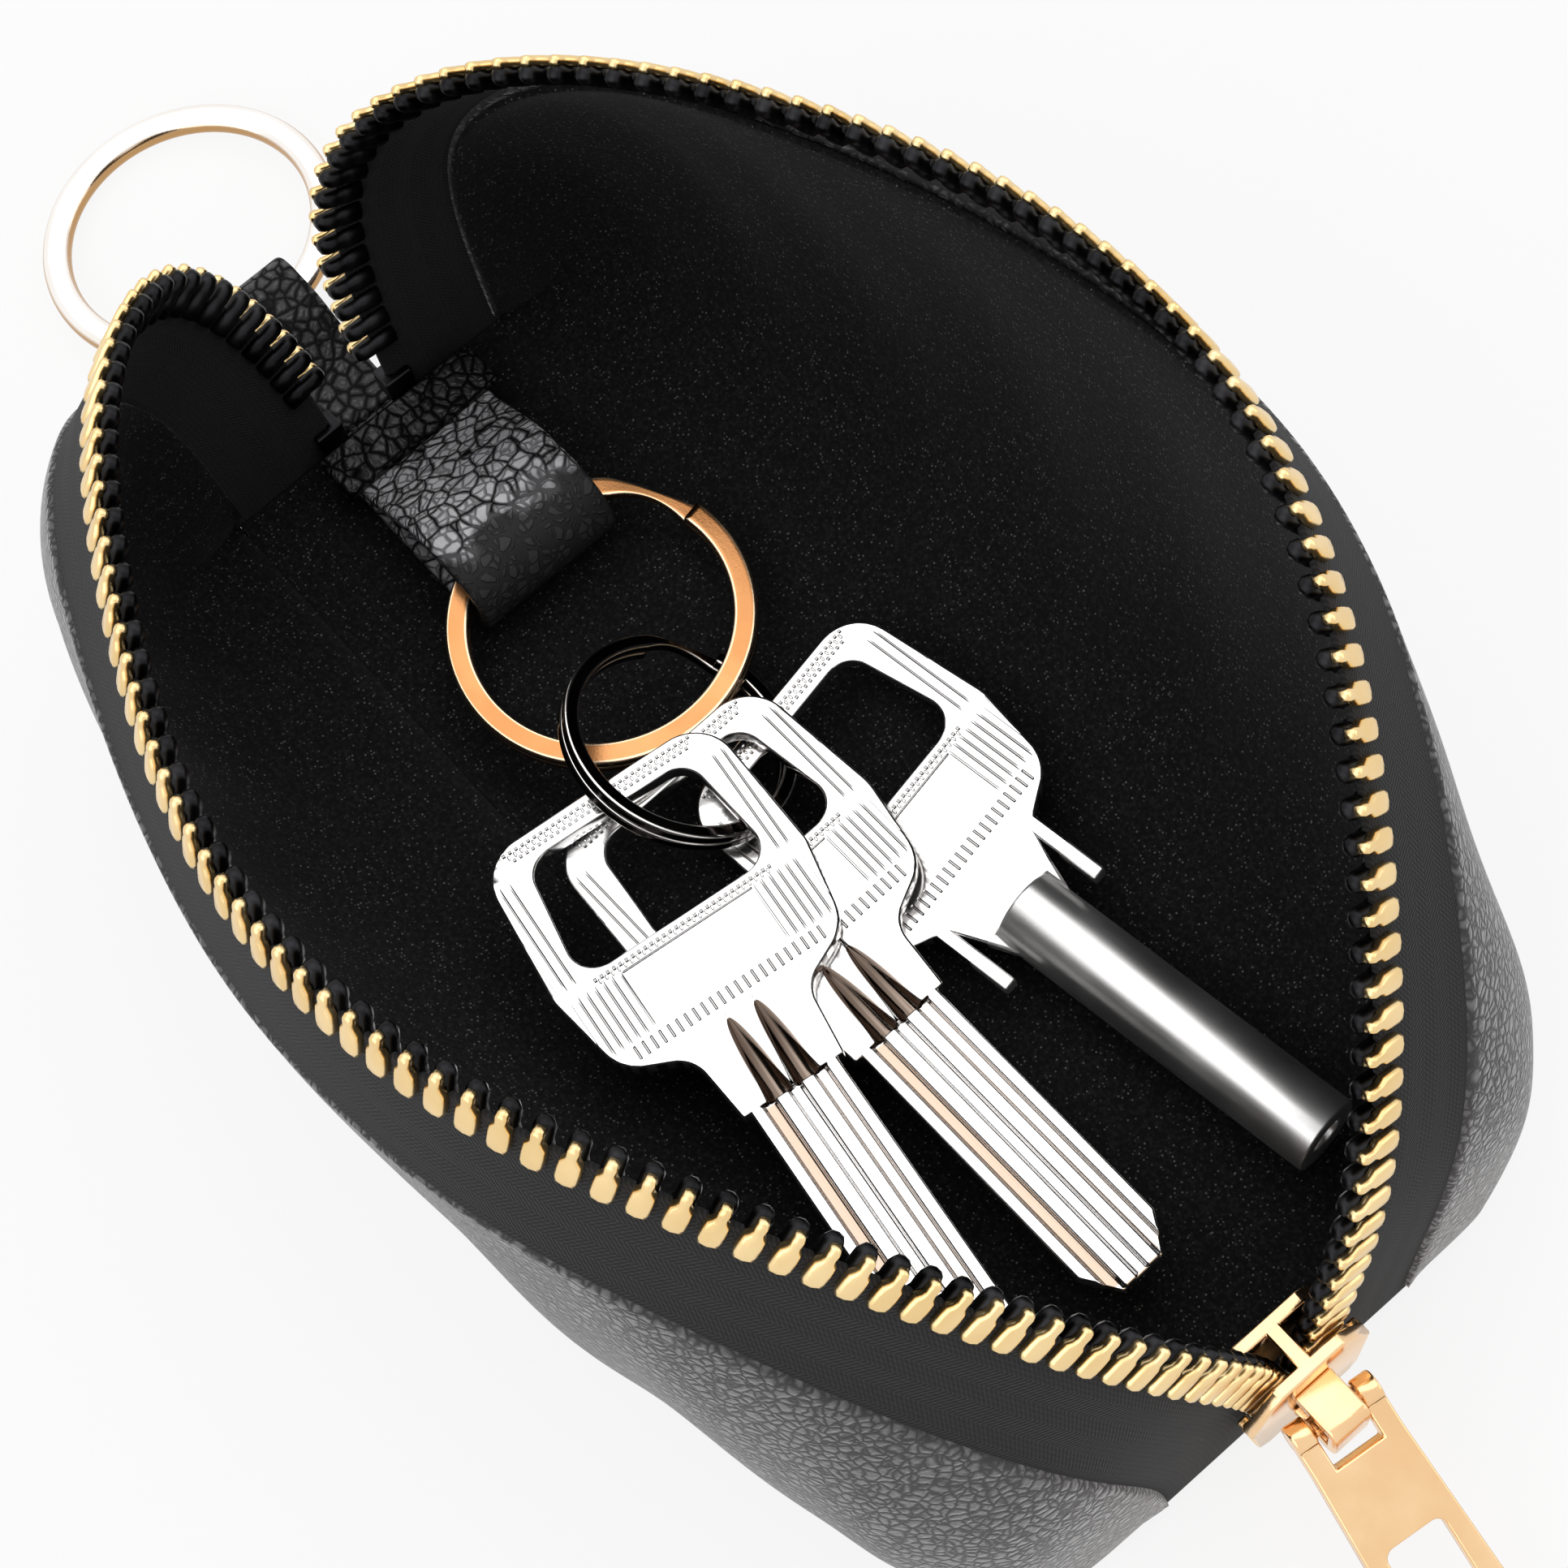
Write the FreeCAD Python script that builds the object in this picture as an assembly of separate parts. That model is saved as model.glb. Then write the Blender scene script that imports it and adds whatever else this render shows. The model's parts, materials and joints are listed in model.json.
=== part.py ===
"""Zip-around leather key case, standing with its zip drawn open, with its rings and keys.

Frame: millimetres, +Z up. The origin is on the floor under the base strip, +X points to the
slider end of the zip and +Y to the back panel. The front half mirrors the back half.
"""
import FreeCAD, Part
import math
import os

Vector = FreeCAD.Vector
X_AXIS = Vector(1, 0, 0)
Y_AXIS = Vector(0, 1, 0)
Z_AXIS = Vector(0, 0, 1)

# Shell: the mouth is the line of the zip teeth, from the slider end to the strap end
case_length = 120.0
mouth_width = 76.0
mouth_height = 60.0
base_setback = 2.2
base_width = 30.0
leather = 1.5
lining = 0.7
lining_gap = 0.45
seam_gap = 0.2
panel_flare = 27.0
panel_end_flare = 4.5
panel_shoulder = 14.0
panel_toe_rise = 0.6
panel_drop_share = 0.3
flare_power_share = 0.75
panel_span_shares = (0.022, 0.98)
lining_span_shares = (0.085, 0.915)
lining_top_share = 0.9
panel_strip_count = 26
panel_step_count = 8
lining_strip_count = 18
lining_step_count = 6

# Shares of half the case length, half the mouth width and the mouth height
mouth_shares = (
    (1.0, 0.021, 0.033),
    (1.0, 0.021, 0.2),
    (1.0, 0.184, 0.517),
    (0.83, 0.447, 0.75),
    (0.583, 0.737, 0.992),
    (0.242, 1.0, 1.025),
    (-0.2, 1.026, 0.892),
    (-0.575, 0.776, 0.858),
    (-0.875, 0.5, 0.783),
    (-1.1, 0.13, 0.525),
    (-0.967, 0.066, 0.24),
    (-0.95, 0.066, 0.052),
)
# How far the tape leans from hanging straight down, as shares of a right angle
lean_shares = (1.0, 1.0, 0.98, 0.72, 0.455, 0.145, 0.2, 0.3, 0.6, 0.91, 1.0, 1.0)
# How far the panel swells past the seam, as shares of panel_shoulder
shoulder_shares = (0.2, 0.8, 1.05, 0.75, 0.2, -0.12, -0.1, 0.15, 0.6, 0.9, 0.4, 0.07)

# Zip: tape, teeth and end stops
tape_show = 12.0
tape_thick = 0.6
tape_tuck = 1.0
tooth_pitch = 2.6
tooth_thick = 2.4
tooth_leg = 2.8
tooth_leg_width = 1.7
tooth_head = 1.3
tooth_tip_width = 0.8
tooth_grip = 1.6
tooth_slot_clearance = 0.1
tooth_shoulder_share = 0.45
first_tooth = 7.4
last_tooth_gap = 8.0
stop_length = 2.6
stop_gap = 0.7
stop_wrap = 1.4
tape_strip_count = 48

# Slider, crown, lock spring and puller
slider_length = 12.5
slider_rise = 6.4
slider_waist_width = 12.2
slider_front_width = 8.4
slider_rear_width = 10.4
slider_plate = 1.1
slider_channel = 3.2
slider_slit = 1.8
slider_flange = 1.0
slider_flange_length = 7.5
wedge_length = 2.2
wedge_width = 1.4
crown_length = 5.6
crown_width = 3.6
crown_height = 4.55
crown_roof = 1.0
crown_post = 1.3
crown_round = 1.1
spring_thick = 0.4
spring_width = 1.8
pin_radius = 0.8
pin_clearance = 0.35
ear_clearance = 0.4
ear_width = 1.8
ear_thick = 2.6
puller_length = 23.2
puller_width = 9.4
puller_thick = 1.6
puller_neck = 3.5
puller_window_length = 9.5
puller_window_width = 5.4
puller_end_wall = 2.6
puller_round = 0.9
puller_droop_angle = 28.0
puller_skew_angle = 7.0

# Inner strap with its patch, and the outer strap
strap_width = 14.5
strap_side = 2.0
strap_thick = 1.5
strap_loop_radius = 3.0
strap_loop_length = 4.2
strap_pivot_share = 0.6117
strap_pivot_z = 7.4
strap_setback = 3.0
patch_gap = 0.3
patch_length = 4.6
patch_width = 17.0
patch_thick = 1.3
outer_strap_width = 8.0
outer_strap_thick = 1.3
outer_loop_radius = 2.2
outer_loop_length = 3.0
outer_loop_reach = 13.9
outer_slope_length = 6.0

# Rings: flat wire wound in two coils, and the plain outer ring
key_ring_radius = 12.4
key_ring_wire = 2.0
key_ring_coil = 0.95
split_ring_radius = 9.7
split_ring_wire = 1.3
split_ring_coil = 1.05
coil_bevel = 0.18
coil_step_angle = 38.0
key_ring_step_angle = 139.0
split_ring_step_angle = 155.0
split_ring_ahead = 1.2
split_ring_side = -2.5
split_ring_lift = 1.8
split_ring_tilt_x_angle = 30.0
split_ring_tilt_y_angle = 6.7
outer_ring_radius = 12.7
outer_ring_wire = 2.6
outer_ring_thick = 1.8
outer_ring_bevel = 0.5
outer_ring_droop_angle = 5.0

# Keys: sizes along the key run from the middle of the bow's window, which has its place
# from the middle of the small ring
key_thick = 1.8
bow_top = 8.0
bow_top_width = 22.5
bow_widest = 6.0
bow_width = 24.5
bow_foot = 14.0
bow_foot_width = 21.5
bow_round = 4.0
shoulder_round = 3.0
window_length = 11.2
window_top_width = 15.6
window_foot_width = 18.6
window_round = 2.4
shoulder_at = 16.5
shoulder_width = 11.0
collar_at = 23.0
collar_width = 9.6
blade_end_share = 0.425
blade_width = 8.2
blade_tip_width = 4.4
blade_tip_length = 3.0
groove_width = 1.1
groove_depth = 0.5
groove_spread = 2.4
flute_length = 8.0
flute_radius = 1.2
flute_spread = 2.6
tube_start = 20.0
tube_radius = 3.4
tube_bore = 1.6
tube_bore_depth = 8.0
cone_start = 15.0
cone_radius = 0.85
tube_neck_end = 22.5
tube_neck_inset = 0.2
fin_at = 14.0
fin_reach = 23.5
fin_width = 1.3
fin_side = 5.8
key_a_ahead = 7.4
key_a_side = -9.7
key_a_lift = 2.2
key_a_turn_angles = (-7.8, 1.5, 1.1)
key_b_ahead = 8.3
key_b_side = -3.3
key_b_lift = -0.05
key_b_turn_angles = (1.0, 1.5, 0.9)
key_c_ahead = 10.0
key_c_side = 8.7
key_c_lift = -2.3
key_c_turn_angles = (8.3, 1.3, 7.5)

cut_overrun = 1.0
curve_step_share = 0.0005
curve_sample_count = 600

half_length = case_length / 2
base_end = base_setback - half_length
base_length = half_length - base_end
blade_end = case_length * blade_end_share


def knots_of(count):
    """Knots of a clamped uniform cubic spline with this many rows."""
    spans = count - 3
    return [0.0] * 3 + [n / spans for n in range(spans + 1)] + [1.0] * 3


def spline(rows, share):
    """Value at a share of the way along a clamped uniform cubic spline with these rows."""
    knots = knots_of(len(rows))
    spans = len(rows) - 3
    span = min(int(share * spans), spans - 1)
    work = list(rows[span : span + 4])
    for level in range(1, 4):
        for n in range(3, level - 1, -1):
            low = knots[span + n]
            high = knots[span + 4 + n - level]
            part = (share - low) / (high - low)
            work[n] = work[n - 1] * (1 - part) + work[n] * part
    return work[3]


# The mouth line's spline rows, and the directions down the tape and out of it at each row
row_count = len(mouth_shares)
row_shares = [sum(knots_of(row_count)[n + 1 : n + 4]) / 3 for n in range(row_count)]
mouth_rows = [
    Vector(x * half_length, y * mouth_width / 2, z * mouth_height) for x, y, z in mouth_shares
]


def along_zip(share):
    """Direction of the mouth line, from the slider end to the strap end."""
    ahead = spline(mouth_rows, min(share + curve_step_share, 1.0))
    return (ahead - spline(mouth_rows, max(share - curve_step_share, 0.0))).normalize()


def leaning(share):
    """Directions down the tape and out of its outer face."""
    along = along_zip(share)
    up = Y_AXIS.cross(along).normalize()
    side = along.cross(up)
    lean = math.radians(90 * spline(lean_shares, share))
    down = side * math.sin(lean) - up * math.cos(lean)
    return down, side * math.cos(lean) + up * math.sin(lean)


down_rows = [leaning(share)[0] for share in row_shares]
out_rows = [leaning(share)[1] for share in row_shares]


def mouth_lengths():
    """Length of the mouth line from its start to each of the sampled shares."""
    points = [spline(mouth_rows, n / curve_sample_count) for n in range(curve_sample_count + 1)]
    lengths = [0.0]
    for first, last in zip(points, points[1:]):
        lengths.append(lengths[-1] + (last - first).Length)
    return lengths


lengths_along = mouth_lengths()
mouth_length = lengths_along[-1]


def share_at(length):
    """Share of the mouth line that lies at this length from its start."""
    for n in range(curve_sample_count):
        if lengths_along[n + 1] >= length:
            part = (length - lengths_along[n]) / (lengths_along[n + 1] - lengths_along[n])
            return (n + part) / curve_sample_count
    return 1.0


def rib(n):
    """Poles of the panel's middle line at a row, from the base strip's edge up to the seam."""
    share = row_shares[n]
    middle = base_end + base_length / 2
    foot = Vector(
        middle + base_length / 2 * math.cos(math.pi * share), base_width / 2, leather / 2
    )
    swell = math.sin(math.pi * share) ** flare_power_share
    toe = foot + Vector(0, panel_end_flare + panel_flare * swell, panel_toe_rise)
    seam = mouth_rows[n] + down_rows[n] * tape_show
    shoulder = Vector(0, panel_shoulder * shoulder_shares[n], -panel_drop_share * seam.z)
    return [foot, toe, seam + shoulder, seam]


def offset_net(distance):
    """Poles of the panel's surface, moved out of its middle by a distance."""
    net = [rib(n) for n in range(row_count)]
    moved = []
    for n, poles in enumerate(net):
        ahead = net[min(n + 1, row_count - 1)]
        behind = net[max(n - 1, 0)]
        row = []
        for m, pole in enumerate(poles):
            along = ahead[m] - behind[m]
            runs = [poles[k + 1] - poles[k] for k in (m - 1, m) if 0 <= k < len(poles) - 1]
            normals = [along.cross(run).normalize() for run in runs]
            mitre = 1 + normals[0].dot(normals[-1])
            row.append(pole + (normals[0] + normals[-1]) * (distance / mitre))
        moved.append(row)
    return moved


def line_edge(start, end):
    """Straight edge between two points."""
    return Part.LineSegment(start, end).toShape()


def cross_points(net, share, top_share, steps):
    """Points across a net of poles at a share of the mouth line, up to a share of its height."""
    poles = [spline(list(row), share) for row in zip(*net)]
    if len(poles) == 2:
        return poles
    curve = Part.BezierCurve()
    curve.setPoles(poles)
    return [curve.value(top_share * n / steps) for n in range(steps + 1)]


def flat_pair(corners):
    """Two flat triangles over four corners in order."""
    a, b, c, d = corners
    return [Part.Face(Part.makePolygon([*three, three[0]])) for three in ((a, b, c), (a, c, d))]


def sheet(outer_net, inner_net, spans, top_share, strips, steps):
    """Faceted solid between two nets of poles, closed round its border."""
    shares = [spans[0] + (spans[1] - spans[0]) * n / strips for n in range(strips + 1)]
    outer = [cross_points(outer_net, share, top_share, steps) for share in shares]
    inner = [cross_points(inner_net, share, top_share, steps) for share in shares]
    faces = []
    for n in range(strips):
        for side in (outer, inner):
            for m in range(len(side[n]) - 1):
                quad = (side[n][m], side[n + 1][m], side[n + 1][m + 1], side[n][m + 1])
                faces += flat_pair(quad)
        for end in (0, -1):
            faces += flat_pair((outer[n][end], outer[n + 1][end], inner[n + 1][end], inner[n][end]))
    for n in (0, -1):
        for m in range(len(outer[n]) - 1):
            faces += flat_pair((outer[n][m], outer[n][m + 1], inner[n][m + 1], inner[n][m]))
    skin = Part.makeShell(faces)
    skin.sewShape()
    solid = Part.makeSolid(skin)
    return solid if solid.Volume > 0 else solid.reversed()


def mirrored(shape):
    """The shape on the other side of the case."""
    return shape.mirror(Vector(0, 0, 0), Y_AXIS)


def panel():
    """Leather panel, swelling out from the base strip and drawn in to the tape."""
    outer = offset_net(leather / 2)
    inner = offset_net(-leather / 2)
    return sheet(outer, inner, panel_span_shares, 1.0, panel_strip_count, panel_step_count)


def panel_lining():
    """Cloth lining inside a panel, stopping short of the zip."""
    face = -leather / 2 - lining_gap
    outer = offset_net(face)
    inner = offset_net(face - lining)
    return sheet(outer, inner, lining_span_shares, lining_top_share, lining_strip_count, lining_step_count)


def base_strip():
    """Leather strip that the case stands on, between the two panels."""
    wide = base_width - 2 * seam_gap
    return Part.makeBox(base_length, wide, leather, Vector(base_end, -wide / 2, 0))


def base_lining():
    """Cloth lining glued on the base strip."""
    wide = base_width - 2 * seam_gap
    length = base_length - 2 * leather
    return Part.makeBox(length, wide, lining, Vector(base_end + leather, -wide / 2, leather))


def zip_tape():
    """Woven tape from inside the teeth out to the panel's seam."""
    reaches = (tooth_leg - tooth_grip + tooth_slot_clearance, tape_show - tape_tuck)
    nets = []
    for side in (tape_thick / 2, -tape_thick / 2):
        nets.append(
            [
                [point + down * reach + out * side for reach in reaches]
                for point, down, out in zip(mouth_rows, down_rows, out_rows)
            ]
        )
    return sheet(nets[0], nets[1], (0.0, 1.0), 1.0, tape_strip_count, 1)


def prism(points, thick):
    """Flat outline in X and Y, made thick evenly about Z."""
    corners = [Vector(x, y, -thick / 2) for x, y in points]
    face = Part.Face(Part.makePolygon(corners + corners[:1]))
    return face.extrude(Vector(0, 0, thick))


def tooth():
    """One tooth: X along the zip, Y down the tape, Z out, with a slot that grips the tape."""
    right = [
        (tooth_tip_width / 2, -tooth_head),
        (tooth_leg_width / 2, tooth_leg * tooth_shoulder_share),
        (tooth_leg_width / 2, tooth_leg),
    ]
    solid = prism(right + [(-x, y) for x, y in reversed(right)], tooth_thick)
    slot = tape_thick + 2 * tooth_slot_clearance
    wide = tooth_leg_width + 2 * cut_overrun
    corner = Vector(-wide / 2, tooth_leg - tooth_grip, -slot / 2)
    return solid.cut(Part.makeBox(wide, tooth_grip + cut_overrun, slot, corner))


def placed(shape, point, x_dir, y_dir, z_dir):
    """Copy of a shape with its own axes turned to these directions."""
    turn = FreeCAD.Matrix(
        x_dir.x, y_dir.x, z_dir.x, point.x,
        x_dir.y, y_dir.y, z_dir.y, point.y,
        x_dir.z, y_dir.z, z_dir.z, point.z,
        0, 0, 0, 1,
    )
    copy = shape.copy()
    copy.Placement = FreeCAD.Placement(turn)
    return copy


def on_tape(shape, length):
    """Copy of a shape set on the tape's edge at this length along the zip."""
    share = share_at(length)
    along = along_zip(share)
    out = along.cross(spline(down_rows, share)).normalize()
    return placed(shape, spline(mouth_rows, share), along, out.cross(along), out)


def zip_teeth(start):
    """Row of separate teeth on the back tape."""
    one = tooth()
    count = int((mouth_length - last_tooth_gap - start) / tooth_pitch) + 1
    return Part.makeCompound([on_tape(one, start + tooth_pitch * n) for n in range(count)])


def top_stop():
    """Clip on one tape past its last tooth."""
    wide = tooth_leg_width
    body = Part.makeBox(
        stop_length, tooth_leg, tooth_thick, Vector(-stop_length / 2, 0, -tooth_thick / 2)
    )
    slot = tape_thick + 2 * tooth_slot_clearance
    corner = Vector(-wide - cut_overrun, tooth_leg - tooth_grip, -slot / 2)
    length = 2 * (wide + cut_overrun)
    body = body.cut(Part.makeBox(length, tooth_grip + cut_overrun, slot, corner))
    return on_tape(body, mouth_length - stop_length)


def bottom_stop():
    """Clip that holds the two tapes together under the slider."""
    half = mouth_rows[0].y + tooth_leg - tooth_grip + stop_wrap
    low = slider_rise - stop_gap - stop_length
    body = Part.makeBox(
        tooth_thick, 2 * half, stop_length, Vector(half_length - tooth_thick / 2, -half, low)
    )
    slot = tape_thick + 2 * tooth_slot_clearance
    inner = half - stop_wrap
    for side in (-half - cut_overrun, inner):
        corner = Vector(half_length - slot / 2, side, low - cut_overrun)
        wide = stop_wrap + cut_overrun
        body = body.cut(Part.makeBox(slot, wide, stop_length + 2 * cut_overrun, corner))
    return body


def slider_plan():
    """Outline of the slider's plates, with its length along X."""
    rear = slider_rear_width / 2
    front = slider_front_width / 2
    chamfer = slider_flange
    right = [
        (0, rear - chamfer),
        (chamfer, rear),
        (slider_flange_length, slider_waist_width / 2),
        (slider_length - chamfer, front),
        (slider_length, front - chamfer),
    ]
    return right + [(x, -y) for x, y in reversed(right)]


def on_slider(shape):
    """Shape with X up the zip and Z out of the case, moved to the slider's rear end."""
    return placed(shape, Vector(half_length, 0, slider_rise), Z_AXIS, Y_AXIS * -1, X_AXIS)


def slider_body():
    """Cast body: two plates joined by a wedge, with flanges that leave a slit for the tape."""
    deep = slider_channel + 2 * slider_plate
    block = prism(slider_plan(), deep)
    wide = slider_waist_width / 2 + cut_overrun
    right = [
        (-cut_overrun, slider_rear_width / 2 - slider_flange),
        (slider_flange_length, slider_waist_width / 2 - slider_flange),
        (slider_flange_length, wide),
        (slider_length + cut_overrun, wide),
    ]
    inner = right + [(x, -y) for x, y in reversed(right)]
    block = block.cut(prism(inner, slider_channel))
    long = slider_length + 2 * cut_overrun
    corner = Vector(-cut_overrun, -wide, -slider_slit / 2)
    slit = Part.makeBox(long, 2 * wide, slider_slit, corner)
    block = block.cut(slit)
    wedge = prism(
        [
            (slider_length - wedge_length, 0),
            (slider_length, -wedge_width / 2),
            (slider_length, wedge_width / 2),
        ],
        slider_channel,
    )
    return on_slider(block.fuse(wedge).removeSplitter())


outer_plate = slider_channel / 2 + slider_plate
crown_middle = slider_length / 2
pin_height = outer_plate + crown_height - crown_roof - pin_clearance - pin_radius


def slider_crown():
    """Bridge on the outer plate that carries the puller's pin."""
    corner = Vector(crown_middle - crown_length / 2, -crown_width / 2, outer_plate)
    bridge = Part.makeBox(crown_length, crown_width, crown_height, corner)
    roof = outer_plate + crown_height
    ends = [
        e for e in bridge.Edges
        if all(abs(v.Z - roof) < cut_overrun / 2 for v in e.Vertexes)
        and abs(e.Vertexes[0].X - e.Vertexes[1].X) < cut_overrun / 2
    ]
    bridge = bridge.makeFillet(crown_round, ends)
    gap = crown_length - 2 * crown_post
    corner = Vector(crown_middle - gap / 2, -crown_width / 2 - cut_overrun, outer_plate)
    wide = crown_width + 2 * cut_overrun
    return on_slider(bridge.cut(Part.makeBox(gap, wide, crown_height - crown_roof, corner)))


def lock_spring():
    """Leaf under the pin that locks the slider."""
    gap = crown_length - 2 * crown_post
    corner = Vector(crown_middle - gap / 2, -spring_width / 2, outer_plate)
    return on_slider(Part.makeBox(gap, spring_width, spring_thick, corner))


def puller():
    """Pin through the crown, two ears and a plate with a window."""
    reach = crown_width / 2 + ear_clearance
    full = reach + ear_width
    pin = Part.makeCylinder(pin_radius, 2 * full, Vector(0, -full, 0), Y_AXIS)
    plate = prism(
        [
            (puller_neck, -full),
            (puller_length - puller_end_wall, -puller_width / 2),
            (puller_length, -puller_width / 2 + puller_end_wall / 2),
            (puller_length, puller_width / 2 - puller_end_wall / 2),
            (puller_length - puller_end_wall, puller_width / 2),
            (puller_neck, full),
        ],
        puller_thick,
    )
    window = prism(
        [
            (puller_length - puller_end_wall - puller_window_length, -puller_window_width / 2),
            (puller_length - puller_end_wall, -puller_window_width / 2),
            (puller_length - puller_end_wall, puller_window_width / 2),
            (puller_length - puller_end_wall - puller_window_length, puller_window_width / 2),
        ],
        puller_thick + 2 * cut_overrun,
    )
    posts = [e for e in window.Edges if abs(e.Vertexes[0].Z - e.Vertexes[1].Z) > puller_thick]
    body = pin.fuse(plate.cut(window.makeFillet(puller_round, posts)))
    for side in (-full, reach):
        lug = Part.makeCylinder(ear_thick / 2, ear_width, Vector(0, side, 0), Y_AXIS)
        corner = Vector(0, side, -puller_thick / 2)
        arm = Part.makeBox(puller_neck, ear_width, puller_thick, corner)
        body = body.fuse(lug).fuse(arm)
    body = body.removeSplitter()
    body.rotate(Vector(0, 0, 0), Y_AXIS, puller_droop_angle)
    body.rotate(Vector(0, 0, 0), Z_AXIS, -puller_skew_angle)
    body.translate(Vector(half_length + pin_height, 0, slider_rise + crown_middle))
    return body


def loop_strap(width, thick, radius, loop_length, slope_length, tail_length):
    """Strap folded into a loop: the fold's middle at the origin, the tail towards -X."""
    outer = radius + thick
    top_end = -loop_length
    slope_end = top_end - slope_length
    tail_end = slope_end - tail_length
    tail_top = -outer + 2 * thick
    outline = Part.Wire(
        [
            line_edge(Vector(tail_end, 0, -outer), Vector(0, 0, -outer)),
            Part.Arc(Vector(0, 0, -outer), Vector(outer, 0, 0), Vector(0, 0, outer)).toShape(),
            line_edge(Vector(0, 0, outer), Vector(top_end, 0, outer)),
            line_edge(Vector(top_end, 0, outer), Vector(slope_end, 0, tail_top)),
            line_edge(Vector(slope_end, 0, tail_top), Vector(tail_end, 0, tail_top)),
            line_edge(Vector(tail_end, 0, tail_top), Vector(tail_end, 0, -outer)),
        ]
    )
    pinch = slope_end + 2 * thick
    hole = Part.Wire(
        [
            line_edge(Vector(pinch, 0, -radius), Vector(0, 0, -radius)),
            Part.Arc(Vector(0, 0, -radius), Vector(radius, 0, 0), Vector(0, 0, radius)).toShape(),
            line_edge(Vector(0, 0, radius), Vector(top_end + thick / 2, 0, radius)),
            line_edge(Vector(top_end + thick / 2, 0, radius), Vector(pinch, 0, -radius)),
        ]
    )
    solid = Part.Face(outline).extrude(Vector(0, width, 0))
    solid = solid.cut(Part.Face(hole).extrude(Vector(0, width, 0)))
    solid.translate(Vector(0, -width / 2, 0))
    return solid


strap_pivot_x = -half_length * strap_pivot_share
patch_start = base_end + strap_setback
strap_tail_x = patch_start + patch_length + patch_gap


def key_strap():
    """Leather loop inside the case that holds the key ring."""
    slope_length = strap_pivot_x - strap_loop_length - strap_tail_x
    length = strap_tail_x - patch_start
    strap = loop_strap(
        strap_width, strap_thick, strap_loop_radius, strap_loop_length, slope_length, length
    )
    strap.translate(Vector(strap_pivot_x, strap_side, strap_pivot_z))
    return strap


def strap_patch():
    """Cross patch sewn over the strap's tail."""
    low = strap_pivot_z - strap_loop_radius + strap_thick
    corner = Vector(patch_start, strap_side - patch_width / 2, low)
    return Part.makeBox(patch_length, patch_width, patch_thick, corner)


outer_pivot = Vector(base_end - outer_loop_reach, 0, outer_loop_radius + outer_strap_thick)


def outer_strap():
    """Leather loop outside the case that holds the outer ring."""
    length = outer_loop_reach - seam_gap - outer_loop_length - outer_slope_length
    strap = loop_strap(
        outer_strap_width,
        outer_strap_thick,
        outer_loop_radius,
        outer_loop_length,
        outer_slope_length,
        length,
    )
    strap.rotate(Vector(0, 0, 0), Z_AXIS, 180)
    strap.translate(outer_pivot)
    return strap


def bevelled_section(radius, wide, high, low):
    """Wire section of one coil in the XZ plane, from its lower face up."""
    inner = radius - wide / 2
    outer = radius + wide / 2
    top = low + high
    corners = [
        Vector(inner, 0, low),
        Vector(outer - coil_bevel, 0, low),
        Vector(outer, 0, low + coil_bevel),
        Vector(outer, 0, top - coil_bevel),
        Vector(outer - coil_bevel, 0, top),
        Vector(inner, 0, top),
    ]
    return Part.makePolygon(corners + corners[:1])


def split_ring(radius, wide, high, step_at):
    """Flat wire wound twice: two stacked coils, joined by a step where one climbs to the other."""
    turn = 360 - coil_step_angle
    coils = []
    for low in (-high, 0):
        face = Part.Face(bevelled_section(radius, wide, high, low))
        coils.append(face.revolve(Vector(0, 0, 0), Z_AXIS, turn))
    climb = []
    for n in range(3):
        wire = bevelled_section(radius, wide, high, -high + high * n / 2)
        wire.rotate(Vector(0, 0, 0), Z_AXIS, turn + coil_step_angle * n / 2)
        climb.append(wire)
    ring = coils[0].fuse(coils[1]).fuse(Part.makeLoft(climb, True, True)).removeSplitter()
    ring.rotate(Vector(0, 0, 0), Z_AXIS, step_at)
    return ring


strap_reach = math.sqrt((key_ring_radius - key_ring_wire / 2) ** 2 - (strap_width / 2) ** 2)
key_ring_ahead = (key_ring_radius + key_ring_wire / 2 + strap_reach) / 2
key_ring_place = Vector(strap_pivot_x + key_ring_ahead, strap_side, strap_pivot_z)
split_ring_place = key_ring_place + Vector(
    key_ring_radius + split_ring_ahead, split_ring_side, split_ring_lift
)
key_a_place = split_ring_place + Vector(key_a_ahead, key_a_side, key_a_lift)
key_b_place = split_ring_place + Vector(key_b_ahead, key_b_side, key_b_lift)
key_c_place = split_ring_place + Vector(key_c_ahead, key_c_side, key_c_lift)


def key_ring():
    """Large gilt ring that hangs in the inner strap, lying flat."""
    ring = split_ring(key_ring_radius, key_ring_wire, key_ring_coil, key_ring_step_angle)
    ring.translate(key_ring_place)
    return ring


def keys_ring():
    """Small dark ring that links the keys to the large ring, leaning across them."""
    ring = split_ring(split_ring_radius, split_ring_wire, split_ring_coil, split_ring_step_angle)
    ring.rotate(Vector(0, 0, 0), X_AXIS, -split_ring_tilt_x_angle)
    ring.rotate(Vector(0, 0, 0), Y_AXIS, split_ring_tilt_y_angle)
    ring.translate(split_ring_place)
    return ring


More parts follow.
